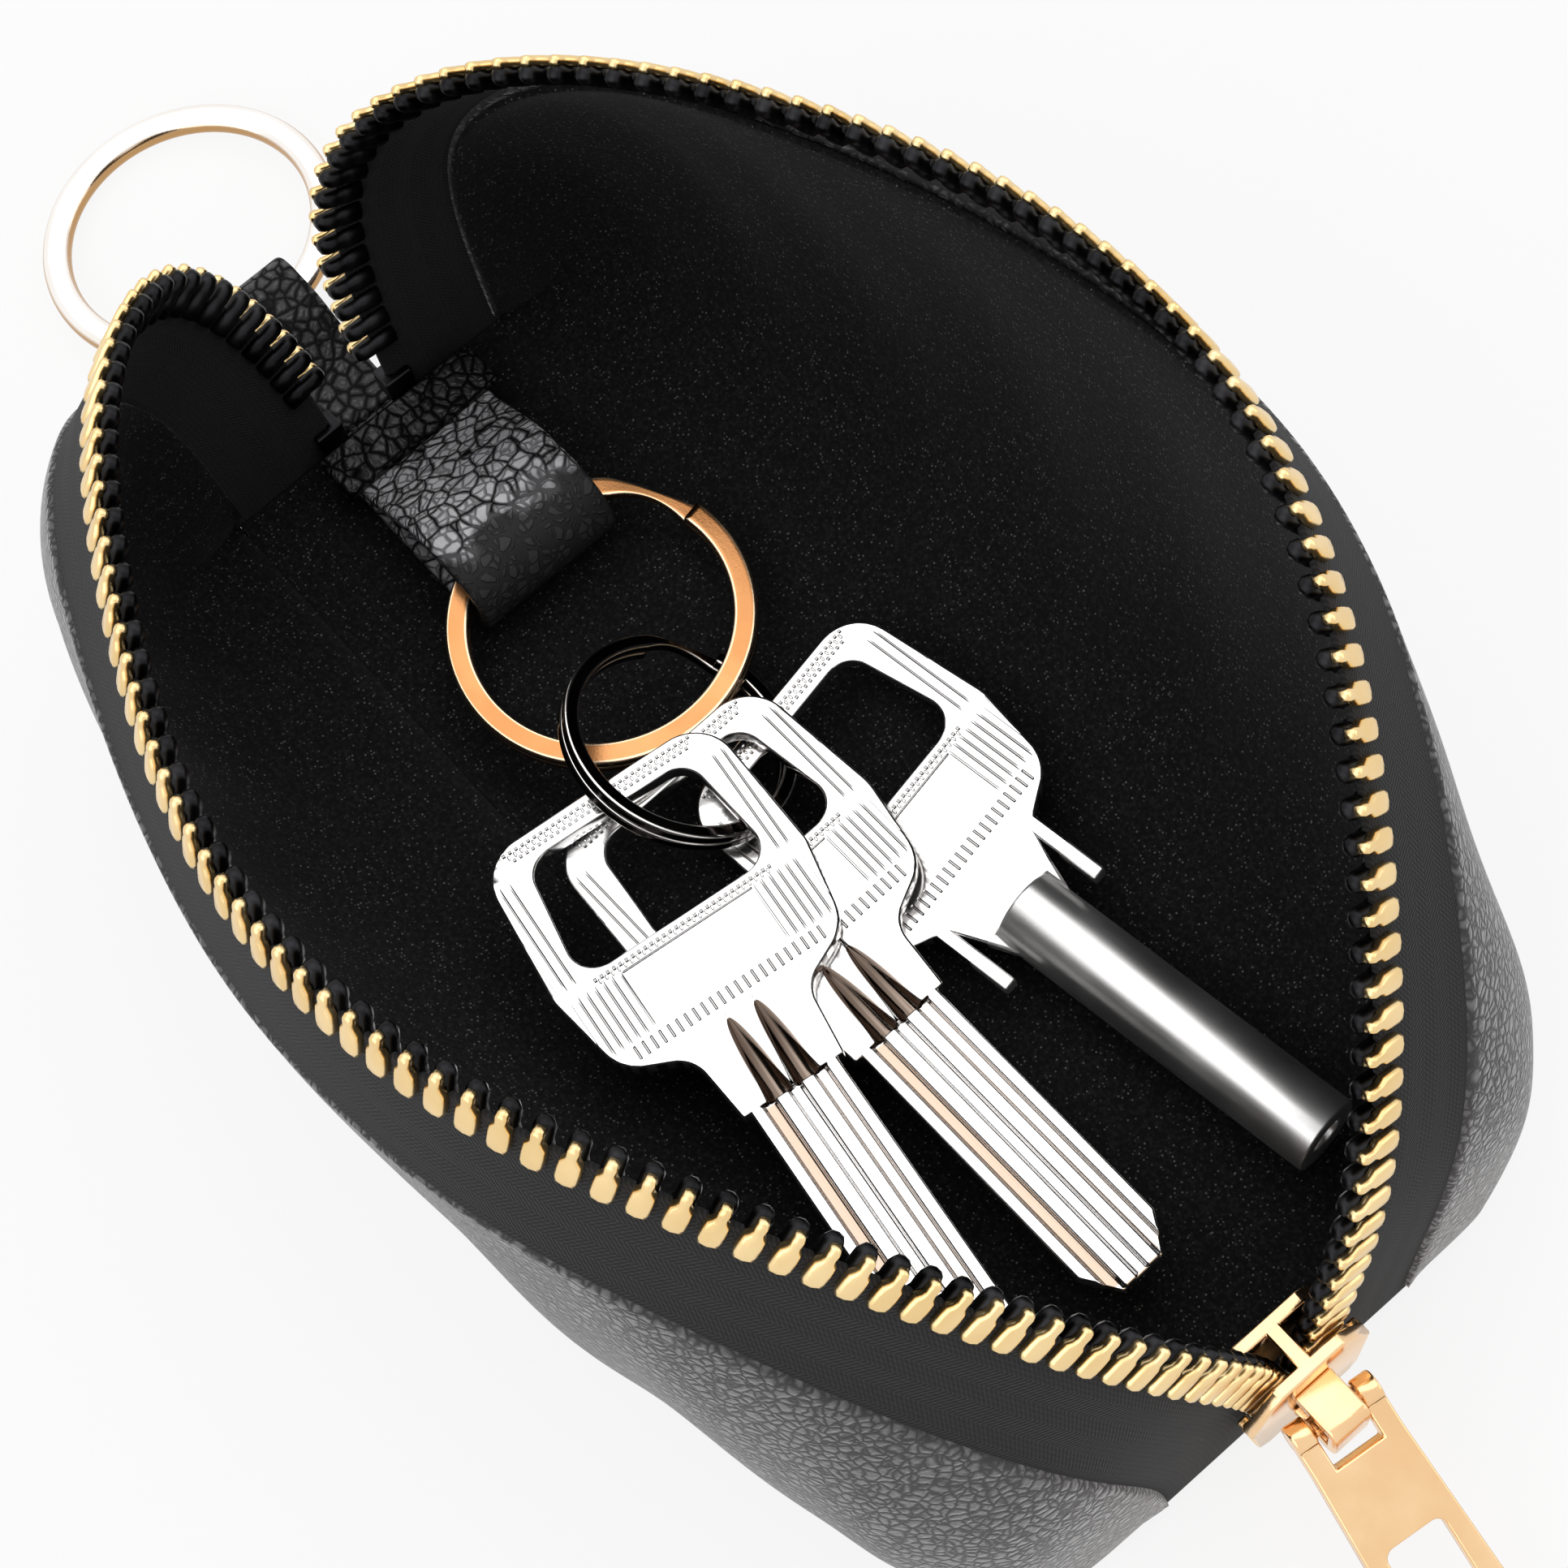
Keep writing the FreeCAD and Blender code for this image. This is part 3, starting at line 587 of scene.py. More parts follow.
class NodeBoard:
    """Nodes of one finish round its main shader."""

    def __init__(self, name: str) -> None:
        """Starts a material with its shader and its texture coordinates.

        Args:
            name: Name of the material.
        """
        self.material = bpy.data.materials.new(name)
        self.material.use_nodes = True
        self.tree = self.material.node_tree
        self.shader = self.tree.nodes["Principled BSDF"]
        self.place = self.tree.nodes.new("ShaderNodeTexCoord")

    @property
    def here(self) -> bpy.types.NodeSocket:
        """Place on the object, in metres."""
        return self.place.outputs["Object"]

    def uv(self) -> tuple[bpy.types.NodeSocket, bpy.types.NodeSocket]:
        """Both numbers of the UV map."""
        split = self.add("ShaderNodeSeparateXYZ", {"Vector": self.place.outputs["UV"]})
        return split.outputs["X"], split.outputs["Y"]

    def attribute(self, name: str) -> bpy.types.NodeSocket:
        """Number that the mesh keeps under a name."""
        return self.add("ShaderNodeAttribute", {}, attribute_name=name).outputs["Fac"]

    def feed(self, socket: bpy.types.NodeSocket, value: Value) -> None:
        """Links a socket to another, or sets its own value.

        Args:
            socket: The socket that is fed.
            value: A number, a colour or the socket that it is linked to.
        """
        if isinstance(value, bpy.types.NodeSocket):
            self.tree.links.new(value, socket)
        else:
            socket.default_value = value

    def add(self, kind: str, inputs: dict[str, Value], **settings: object) -> bpy.types.Node:
        """New node.

        Args:
            kind: The node's type.
            inputs: Values or links by socket name.
            settings: The node's own options.

        Returns:
            The node.
        """
        node = self.tree.nodes.new(kind)
        for key, value in settings.items():
            setattr(node, key, value)
        for key, value in inputs.items():
            self.feed(node.inputs[key], value)
        return node

    def calc(self, operation: str, first: Value, second: Value = 0.0) -> bpy.types.NodeSocket:
        """Result of a sum.

        Args:
            operation: The sum's name in Blender.
            first: The first value.
            second: The second value, if the sum has one.

        Returns:
            The result's socket.
        """
        node = self.add("ShaderNodeMath", {}, operation=operation)
        self.feed(node.inputs[0], first)
        self.feed(node.inputs[1], second)
        return node.outputs[0]

    def product(self, first: Value, *others: Value) -> Value:
        """All the values multiplied together.

        Args:
            first: The first value.
            others: The other values.

        Returns:
            The result's socket.
        """
        for other in others:
            first = self.calc("MULTIPLY", first, other)
        return first

    def span(
        self, value: Value, low: float, high: float, start: float = 0.0, end: float = 1.0
    ) -> bpy.types.NodeSocket:
        """Value taken from one span to another, smooth at both ends."""
        inputs = {"Value": value, "From Min": low, "From Max": high, "To Min": start, "To Max": end}
        return self.add("ShaderNodeMapRange", inputs, interpolation_type="SMOOTHSTEP").outputs[0]

    def tint(self, share: Value, first: Value, second: Value) -> bpy.types.NodeSocket:
        """Colour between two colours.

        Args:
            share: Nothing for the first colour, one for the second.
            first: The first colour.
            second: The second colour.

        Returns:
            The mixed colour's socket.
        """
        node = self.add("ShaderNodeMix", {}, data_type="RGBA")
        for index, value in ((0, share), (6, first), (7, second)):
            self.feed(node.inputs[index], value)
        return node.outputs[2]

    def noise(self, lumps: float, detail: float) -> bpy.types.NodeSocket:
        """Soft noise of so many lumps to a metre."""
        inputs = {"Vector": self.here, "Scale": lumps, "Detail": detail}
        return self.add("ShaderNodeTexNoise", inputs).outputs[0]

    def cells(self, count: float, feature: str, where: Value | None = None) -> bpy.types.Node:
        """Cells of so many to a metre, on the object's own places or on others."""
        inputs = {"Vector": self.here if where is None else where, "Scale": count}
        return self.add("ShaderNodeTexVoronoi", inputs, feature=feature)

    def bump(self, height: Value, depth: float, strength: float = 1.0) -> None:
        """Adds relief to the shader, over any that it has.

        Args:
            height: Nothing in the hollows, one on the tops.
            depth: Depth of the hollows in millimetres.
            strength: Share of the relief that shows.
        """
        inputs = {"Height": height, "Distance": depth * MM, "Strength": strength}
        node = self.add("ShaderNodeBump", inputs)
        before = self.shader.inputs["Normal"]
        if before.is_linked:
            self.feed(node.inputs["Normal"], before.links[0].from_socket)
        self.feed(before, node.outputs[0])

    def set(self, **values: Value) -> None:
        """Sets the shader's sockets, with underscores for spaces."""
        for key, value in values.items():
            self.feed(self.shader.inputs[key.replace("_", " ")], value)


@dataclass(frozen=True)
class GrainedLeather:
    """Black leather with a pebbled or crackled grain.

    The fold's places are millimetres along the strap's UV map, and round the fold the leather is
    painted darker as painted shade. Between the two heights of painted shade, in metres, the leather
    is painted darker towards the top.
    """

    name: str
    crease: Colour
    crown: Colour
    cells_per_metre: float
    crease_width: float
    depth: float
    gloss_low: float
    gloss_high: float
    warp: float = 0.45
    wander_factor: float = 0.6
    small_factor: float = 1.7
    small_share: float = 0.4
    fine_factor: float = 4.0
    fine_share: float = 0.35
    fine_strength: float = 0.6
    patches_per_metre: float = 70.0
    patch_low: float = 0.7
    fold_start: float = 0.0
    fold_end: float = 0.0
    fold_rise: float = 1.0
    fold_fade: float = 3.0
    fold_lumps: float = 260.0
    fold_wobble: float = 1.2
    fold_smooth: float = 0.6
    fold_dark: float = 0.1
    shine: float = 0.5
    wax: float = 0.0
    wax_roughness: float = 0.3
    shade_top: float = 0.0
    shade_heights: tuple[float, float] = (0.012, 0.046)
    sheen: float = 0.0
    sheen_roughness: float = 0.35

    def make(self) -> bpy.types.Material:
        """Joins grain, the fold's smoothing and painted shade, painted shade towards the top, and gloss.

        Returns:
            The leather's material.
        """
        board = NodeBoard(self.name)
        grain = self.grain(board)
        fine = board.noise(self.cells_per_metre * self.fine_factor, detail=2.0)
        patch = board.noise(self.patches_per_metre, detail=3.0)
        light = board.span(patch, *NOISE_SPAN, self.patch_low, 1.0)
        if self.fold_end > self.fold_start:
            fold = self.fold(board)
            grain = board.calc("MAXIMUM", grain, board.product(fold, self.fold_smooth))
            # Painted shade: the leather round the fold is painted darker.
            light = board.product(light, board.span(fold, 0.0, 1.0, 1.0, self.fold_dark))
        tone = board.product(grain, light)
        colour = board.tint(tone, self.crease, self.crown)
        # Painted shade: the leather is painted darker towards the top, between two heights.
        if self.shade_top > 0.0:
            split = board.add("ShaderNodeSeparateXYZ", {"Vector": board.here})
            shade = board.span(split.outputs["Z"], *self.shade_heights, 0.0, self.shade_top)
            colour = board.tint(shade, colour, BLACK)
        board.set(
            Base_Color=colour,
            Roughness=board.span(fine, *NOISE_SPAN, self.gloss_low, self.gloss_high),
            Specular_IOR_Level=board.product(tone, self.shine),
            Sheen_Weight=self.sheen,
            Sheen_Roughness=self.sheen_roughness,
        )
        if self.wax > 0.0:
            board.set(Coat_Weight=board.product(tone, self.wax), Coat_Roughness=self.wax_roughness)
        board.bump(grain, self.depth)
        board.bump(fine, self.depth * self.fine_share, self.fine_strength)
        return board.material

    def grain(self, board: NodeBoard) -> bpy.types.NodeSocket:
        """Large cells with smaller ones over them.

        Args:
            board: The finish's nodes.

        Returns:
            One on the cells' crowns, less in the creases.
        """
        bent = self.bend(board)
        heights = []
        for factor, lowest in ((1.0, 0.0), (self.small_factor, 1.0 - self.small_share)):
            cells = board.cells(self.cells_per_metre * factor, "DISTANCE_TO_EDGE", bent)
            heights.append(board.span(cells.outputs["Distance"], 0.0, self.crease_width, lowest, 1.0))
        return board.product(*heights)

    def fold(self, board: NodeBoard) -> bpy.types.NodeSocket:
        """Finds the fold, where the leather is smooth and painted darker as painted shade.

        Args:
            board: The finish's nodes.

        Returns:
            One round the fold, nothing elsewhere.
        """
        lumps = board.noise(self.fold_lumps, detail=3.0)
        wobble = board.span(lumps, *NOISE_SPAN, -self.fold_wobble, self.fold_wobble)
        along = board.calc("ADD", board.uv()[0], wobble)
        into = board.span(along, self.fold_start - self.fold_rise, self.fold_start)
        out = board.span(along, self.fold_end - self.fold_fade, self.fold_end, 1.0, 0.0)
        return board.product(into, out)

    def bend(self, board: NodeBoard) -> bpy.types.NodeSocket:
        """Shakes the object's places a little, so that the cells aren't straight-sided.

        Args:
            board: The finish's nodes.

        Returns:
            The shaken places.
        """
        inputs = {"Vector": board.here, "Scale": self.cells_per_metre * self.wander_factor}
        wander = board.add("ShaderNodeTexNoise", inputs).outputs["Color"]
        shake = self.warp / self.cells_per_metre
        node = board.add("ShaderNodeVectorMath", {}, operation="MULTIPLY_ADD")
        for socket, value in zip(node.inputs, (wander, (shake, shake, shake), board.here)):
            board.feed(socket, value)
        return node.outputs[0]


@dataclass(frozen=True)
class NappedCloth:
    """Black lining with a short nap and a few pale flecks."""

    name: str = "lining_cloth"
    dark: Colour = (0.0045, 0.0045, 0.0048, 1.0)
    nap: Colour = (0.017, 0.017, 0.018, 1.0)
    fleck: Colour = (0.2, 0.2, 0.205, 1.0)
    flecks_per_metre: float = 3000.0
    fleck_radius: tuple[float, float] = (0.1, 0.36)
    fleck_chance: tuple[float, float] = (0.45, 1.0)
    fleck_strength: float = 0.9
    fuzz_per_metre: float = 2600.0
    fuzz_span: tuple[float, float] = (0.4, 0.75)
    fuzz_depth: float = 0.12
    fuzz_strength: float = 0.8
    roughness: float = 0.95
    shine: float = 0.15
    sheen: float = 0.06
    sheen_roughness: float = 0.6

    def make(self) -> bpy.types.Material:
        """Joins nap and flecks.

        Returns:
            The lining's material.
        """
        board = NodeBoard(self.name)
        spots = board.cells(self.flecks_per_metre, "F1")
        chance = board.add("ShaderNodeSeparateColor", {"Color": spots.outputs["Color"]}).outputs[0]
        near = board.span(spots.outputs["Distance"], *self.fleck_radius, 1.0, 0.0)
        fleck = board.product(near, board.span(chance, *self.fleck_chance, 0.0, self.fleck_strength))
        fuzz = board.noise(self.fuzz_per_metre, detail=3.0)
        cloth = board.tint(board.span(fuzz, *self.fuzz_span), self.dark, self.nap)
        board.set(
            Base_Color=board.tint(fleck, cloth, self.fleck),
            Roughness=self.roughness,
            Specular_IOR_Level=self.shine,
            Sheen_Weight=self.sheen,
            Sheen_Roughness=self.sheen_roughness,
        )
        board.bump(fuzz, self.fuzz_depth, self.fuzz_strength)
        return board.material


@dataclass(frozen=True)
class TwillTape:
    """Black zip tape woven in zigzag twill, patterned along its UV map in millimetres."""

    name: str = "zip_tape"
    low: Colour = (0.013, 0.013, 0.0135, 1.0)
    high: Colour = (0.033, 0.033, 0.035, 1.0)
    ribs_per_millimetre: float = 2.2
    zigzag: float = 1.6
    threads_per_millimetre: float = 2.2
    thread_share: float = 0.45
    fuzz_per_metre: float = 4000.0
    fuzz_low: float = 0.5
    weave_depth: float = 0.08
    weave_strength: float = 0.7
    roughness: float = 0.86
    shine: float = 0.25
    sheen: float = 0.05

    def make(self) -> bpy.types.Material:
        """Joins ribs and threads.

        Returns:
            The tape's material.
        """
        board = NodeBoard(self.name)
        along, down = board.uv()
        slant = board.calc("ADD", along, board.calc("PINGPONG", down, self.zigzag))
        ribs = board.calc("SINE", board.product(slant, math.tau * self.ribs_per_millimetre))
        threads = board.calc("SINE", board.product(down, math.tau * self.threads_per_millimetre))
        weave = board.calc("ADD", ribs, board.product(threads, self.thread_share))
        most = 1.0 + self.thread_share
        height = board.span(weave, -most, most)
        fuzz = board.noise(self.fuzz_per_metre, detail=2.0)
        tone = board.product(height, board.span(fuzz, *NOISE_SPAN, self.fuzz_low, 1.0))
        board.set(
            Base_Color=board.tint(tone, self.low, self.high),
            Roughness=self.roughness,
            Specular_IOR_Level=self.shine,
            Sheen_Weight=self.sheen,
        )
        board.bump(height, self.weave_depth, self.weave_strength)
        return board.material


@dataclass(frozen=True)
class PlatedMetal:
    """Plated metal with faint smears and fine scratches.

    Where an edge colour is given, the second number of the UV map marks the places painted with it:
    a painted highlight on rounded edges, or on the plain ring a darker line along its rims.
    """

    name: str
    colour: Colour
    shade: Colour
    gloss_low: float
    gloss_high: float
    scratch: float = 0.012
    edge: Colour | None = None
    smears_per_metre: float = 140.0
    scratches_per_metre: float = 5200.0
    scratch_strength: float = 0.5
    colour_span: tuple[float, float] = (0.35, 0.7)
    gloss_span: tuple[float, float] = (0.3, 0.75)
    edge_span: tuple[float, float] = (0.6, 1.0)

    def board(self) -> NodeBoard:
        """Joins smears, scratches and worn edges.

        Returns:
            The nodes of the plain metal.
        """
        board = NodeBoard(self.name)
        smear = board.noise(self.smears_per_metre, detail=4.0)
        colour = board.tint(board.span(smear, *self.colour_span), self.shade, self.colour)
        # Painted edge colour: a painted highlight on rounded edges, or a darker line on the plain ring's
        # rims.
        if self.edge is not None:
            colour = board.tint(board.span(board.uv()[1], *self.edge_span), colour, self.edge)
        board.set(
            Base_Color=colour,
            Roughness=board.span(smear, *self.gloss_span, self.gloss_low, self.gloss_high),
            Metallic=1.0,
        )
        board.bump(board.noise(self.scratches_per_metre, detail=2.0), self.scratch, self.scratch_strength)
        return board

    def make(self) -> bpy.types.Material:
        """The metal's material."""
        return self.board().material


class Press(Enum):
    """Patterns pressed into the bows of the keys."""

    DASHES = "dashes"
    RIBS = "ribs"
    RAILS = "rails"
    LINE = "line"


@dataclass(frozen=True)
class PressedField:
    """Where a pattern is pressed: along the key, and off its middle line, with soft limits."""

    pattern: Press
    ahead: tuple[float, float]
    side: tuple[float, float]
    ahead_soft: float = 0.08
    side_soft: float = 0.08


@dataclass(frozen=True)
class RibbedNickel(PlatedMetal):
    """Nickel plate of the keys, with lines pressed into it by the key's own UV map in millimetres.

    The pressed lines, the knurls and the flutes carry painted shade, and the flutes a painted sheen.
    """

    # Painted shade in the pressed lines, dashes and ribs of the bows.
    line: Colour = (0.3, 0.29, 0.285, 1.0)
    # Painted shade in the flutes and between the knurl ribs.
    hollow: Colour = (0.045, 0.03, 0.022, 1.0)
    # Colour of the painted sheen on one flank of each flute.
    streak: Colour = (0.42, 0.33, 0.27, 1.0)
    tan: Colour = (0.52, 0.4, 0.31, 1.0)
    mark_share: float = 0.85
    line_depth: float = 0.08
    dash_pitch: float = 0.6
    dash_share: float = 0.42
    rib_pitch: float = 0.8
    rib_share: float = 0.24
    rail_pitch: float = 0.9
    rail_share: float = 0.16
    stripe_soft: float = 0.25
    fields: tuple[PressedField, ...] = (
        PressedField(Press.DASHES, (-7.35, -7.1), (-1.0, 9.4)),
        PressedField(Press.DASHES, (-6.55, -6.3), (-1.0, 8.6)),
        PressedField(Press.DASHES, (6.15, 6.45), (-1.0, 8.8)),
        PressedField(Press.LINE, (6.95, 7.1), (-1.0, 6.2), ahead_soft=0.06),
        PressedField(Press.RIBS, (7.0, 12.4), (6.4, 11.0), ahead_soft=0.5, side_soft=0.3),
        PressedField(Press.RIBS, (12.9, 14.1), (-1.0, 9.2)),
        PressedField(Press.RAILS, (-4.6, 5.4), (9.3, 11.5), ahead_soft=0.6, side_soft=0.2),
    )
    flute: tuple[float, float] = (15.2, 23.0)
    flute_side: float = 1.3
    flute_half: float = 1.15
    flute_least: float = 0.02
    flute_round: float = 0.25
    flute_edge: tuple[float, float] = (0.85, 1.05)
    foot_line: tuple[float, float] = (22.85, 23.1)
    foot_soft: float = 0.05
    foot_side: tuple[float, float] = (0.3, 3.2)
    streaks: float = 17.0
    streak_low: float = 0.7
    streak_grows: tuple[float, float] = (17.54, 22.7)
    streak_tip: float = 0.3
    sheen_span: tuple[float, float] = (-0.75, 0.8)
    sheen_top: float = 0.95
    knurl: tuple[float, float] = (6.0, 17.0)
    knurl_soft: float = 0.8
    knurl_pitch: float = 0.7
    knurl_share: float = 0.5
    groove: tuple[float, float] = (1.9, 2.9)
    groove_soft: float = 0.2
    groove_dim: float = 0.5
    blade: tuple[float, float] = (23.2, 50.4)
    tube_soft: float = 0.5
    tube_roughness: float = 0.2

    def band(
        self, board: NodeBoard, value: Value, limits: tuple[float, float], soft: float = 0.08
    ) -> Value:
        """One between two places, nothing outside them.

        Args:
            board: The finish's nodes.
            value: The place.
            limits: The two places.
            soft: Half the width of the change at each place.

        Returns:
            The result's socket.
        """
        low, high = limits
        rise = board.span(value, low - soft, low + soft)
        fall = board.span(value, high - soft, high + soft, 1.0, 0.0)
        return board.product(rise, fall)

    def stripes(self, board: NodeBoard, value: Value, pitch: float, share: float) -> Value:
        """Lines across a value.

        Args:
            board: The finish's nodes.
            value: The place that the lines are counted on.
            pitch: Distance from line to line.
            share: Share of the pitch that a line takes.

        Returns:
            One on the lines, nothing between them.
        """
        wave = board.calc("COSINE", board.product(value, math.tau / pitch))
        limit = math.cos(math.pi * share)
        return board.span(wave, limit - self.stripe_soft, limit + self.stripe_soft)

    def marks(self, board: NodeBoard, ahead: Value, across: Value, side: Value) -> Value:
        """Lines, dashes and ribs of the bow.

        Args:
            board: The finish's nodes.
            ahead: Place along the key.
            across: Place across the key.
            side: Distance from the key's middle line.

        Returns:
            One on the marks, nothing between them.
        """
        patterns = {
            Press.DASHES: self.stripes(board, across, self.dash_pitch, self.dash_share),
            Press.RIBS: self.stripes(board, across, self.rib_pitch, self.rib_share),
            Press.RAILS: self.stripes(board, side, self.rail_pitch, self.rail_share),
        }
        total: Value = 0.0
        for field in self.fields:
            place = board.product(
                self.band(board, ahead, field.ahead, field.ahead_soft),
                self.band(board, side, field.side, field.side_soft),
            )
            if field.pattern in patterns:
                place = board.product(place, patterns[field.pattern])
            total = board.calc("MAXIMUM", place, total)
        return total

    def flutes(
        self, board: NodeBoard, ahead: Value, across: Value, side: Value
    ) -> tuple[Value, Value]:
        """Pointed hollows at the neck, painted dark as painted shade, with a painted sheen on one flank
        of each and a painted dark line at their foot.

        Args:
            board: The finish's nodes.
            ahead: Place along the key.
            across: Place across the key.
            side: Distance from the key's middle line.

        Returns:
            One in the hollows and on the line at their foot, where painted shade goes, and the strength
            of their painted sheen.
        """
        rise = board.calc("POWER", board.span(ahead, *self.flute), self.flute_round)
        wide = board.calc("MAXIMUM", board.product(rise, self.flute_half), self.flute_least)
        off = board.product(board.calc("SUBTRACT", side, self.flute_side), board.calc("SIGN", across))
        share = board.calc("DIVIDE", off, wide)
        inside = board.span(board.calc("ABSOLUTE", share), *self.flute_edge, 1.0, 0.0)
        shape = board.product(inside, self.band(board, ahead, self.flute))
        foot = self.band(board, ahead, self.foot_line, self.foot_soft)
        line = board.product(foot, self.band(board, side, self.foot_side))
        shape = board.calc("MAXIMUM", shape, line)
        waves = board.calc("SINE", board.product(share, self.streaks))
        sheen = board.product(
            board.span(share, *self.sheen_span, 0.0, self.sheen_top),
            board.span(waves, -1.0, 1.0, self.streak_low, 1.0),
            board.span(ahead, *self.streak_grows, self.streak_tip, 1.0),
            board.calc("SUBTRACT", 1.0, foot),
        )
        return shape, sheen

    def make(self) -> bpy.types.Material:
        """Adds marks, flutes, knurls and grooves to the plain metal.

        Returns:
            The keys' material.
        """
        board = self.board()
        ahead, across = board.uv()
        side = board.calc("ABSOLUTE", across)
        wall = board.attribute("wall")
        fluted = board.attribute("fluted")
        face = board.calc("SUBTRACT", 1.0, wall)
        marks = board.product(self.marks(board, ahead, across, side), face)
        shape, sheen = self.flutes(board, ahead, across, side)
        knurl = board.product(
            wall,
            self.band(board, ahead, self.knurl, self.knurl_soft),
            self.stripes(board, ahead, self.knurl_pitch, self.knurl_share),
        )
        grooves = board.product(
            self.band(board, side, self.groove, self.groove_soft),
            self.band(board, ahead, self.blade),
            board.span(across, -1.0, 1.0, 1.0, self.groove_dim),
            fluted,
        )
        tube = board.product(
            board.calc("SUBTRACT", 1.0, fluted),
            board.span(ahead, TUBE_START - self.tube_soft, TUBE_START),
        )
        colour = board.shader.inputs["Base Color"].links[0].from_socket
        # Painted shade in the pressed marks.
        colour = board.tint(board.product(marks, self.mark_share), colour, self.line)
        colour = board.tint(grooves, colour, self.tan)
        # Painted shade between the knurl ribs on the walls.
        colour = board.tint(board.product(knurl, self.mark_share), colour, self.hollow)
        # Painted shade in the flutes and on their foot line, with a painted sheen on one flank.
        hollow = board.tint(sheen, self.hollow, self.streak)
        colour = board.tint(board.product(shape, fluted), colour, hollow)
        gloss = board.shader.inputs["Roughness"].links[0].from_socket
        gloss = board.calc("ADD", gloss, board.product(tube, self.tube_roughness))
        board.set(Base_Color=colour, Roughness=gloss)
        board.bump(board.calc("SUBTRACT", 1.0, marks), self.line_depth)
        return board.material


class Finishes:
    """All the materials of the case."""

    def __init__(self) -> None:
        """Makes each material once."""
        self.leather = GrainedLeather(
            "case_leather",
            crease=(0.09, 0.087, 0.09, 1.0),
            crown=(0.175, 0.169, 0.175, 1.0),
            cells_per_metre=1100.0,
            crease_width=0.34,
            depth=0.12,
            gloss_low=0.4,
            gloss_high=0.54,
            warp=1.1,
            small_share=0.2,
            shine=0.7,
            # Painted shade towards the top of the case.
            shade_top=0.35,
            sheen=0.75,
        ).make()
        self.strap = GrainedLeather(
            "strap_leather",
            crease=(0.004, 0.004, 0.0045, 1.0),
            # Painted light: the black strap's crowns are painted pale grey, lighter than the leather is.
            crown=(0.56, 0.55, 0.575, 1.0),
            cells_per_metre=520.0,
            crease_width=0.13,
            depth=0.28,
            gloss_low=0.34,
            gloss_high=0.46,
            warp=0.75,
            small_share=0.6,
            # Round the fold the strap is smoothed and painted darker as painted shade.
            fold_start=18.1,
            fold_end=32.0,
            shine=1.0,
            wax=0.7,
        ).make()
        self.patch = GrainedLeather(
            "patch_leather",
            crease=(0.004, 0.004, 0.0045, 1.0),
            crown=(0.028, 0.028, 0.03, 1.0),
            cells_per_metre=700.0,
            crease_width=0.2,
            depth=0.16,
            gloss_low=0.34,
            gloss_high=0.5,
        ).make()
        self.outer = GrainedLeather(
            "outer_leather",
            crease=(0.012, 0.012, 0.0125, 1.0),
            crown=(0.07, 0.07, 0.074, 1.0),
            cells_per_metre=820.0,
            crease_width=0.3,
            depth=0.16,
            gloss_low=0.34,
            gloss_high=0.48,
        ).make()
        self.lining = NappedCloth().make()
        self.tape = TwillTape().make()
        self.brass = PlatedMetal(
            "zip_brass",
            colour=(0.92, 0.7, 0.37, 1.0),
            shade=(0.84, 0.6, 0.28, 1.0),
            gloss_low=0.24,
            gloss_high=0.34,
        ).make()
        self.oxide = PlatedMetal(
            "zip_oxide",
            colour=(0.028, 0.028, 0.03, 1.0),
            shade=(0.012, 0.012, 0.013, 1.0),
            gloss_low=0.3,
            gloss_high=0.42,
        ).make()
        self.gilt = PlatedMetal(
            "slider_gilt",
            colour=(0.95, 0.66, 0.38, 1.0),
            shade=(0.88, 0.57, 0.3, 1.0),
            gloss_low=0.16,
            gloss_high=0.24,
        ).make()
        self.ring_gilt = PlatedMetal(
            "ring_gilt",
            colour=(0.66, 0.31, 0.125, 1.0),
            shade=(0.5, 0.225, 0.085, 1.0),
            gloss_low=0.2,
            gloss_high=0.3,
            # Painted highlight on the gilt ring's rounded edges.
            edge=(0.97, 0.72, 0.48, 1.0),
        ).make()
        self.ring_dark = PlatedMetal(
            "ring_dark",
            colour=(0.1, 0.085, 0.08, 1.0),
            shade=(0.05, 0.042, 0.04, 1.0),
            gloss_low=0.1,
            gloss_high=0.18,
            # Painted highlight on the split ring's rounded edges.
            edge=(0.75, 0.72, 0.7, 1.0),
        ).make()
        # Painted reflection: the gilt outer ring is painted near white, its rims a darker gilt brown.
        self.ring_pale = PlatedMetal(
            "ring_pale",
            colour=(0.98, 0.95, 0.92, 1.0),
            shade=(0.95, 0.9, 0.85, 1.0),
            gloss_low=0.12,
            gloss_high=0.2,
            edge=(0.5, 0.29, 0.12, 1.0),
        ).make()
        self.steel = PlatedMetal(
            "spring_steel",
            colour=(0.5, 0.5, 0.52, 1.0),
            shade=(0.4, 0.4, 0.42, 1.0),
            gloss_low=0.24,
            gloss_high=0.34,
        ).make()
        self.nickel = RibbedNickel(
            "key_nickel",
            colour=(0.96, 0.95, 0.945, 1.0),
            shade=(0.9, 0.885, 0.875, 1.0),
            gloss_low=0.13,
            gloss_high=0.22,
            scratch=0.004,
        ).make()


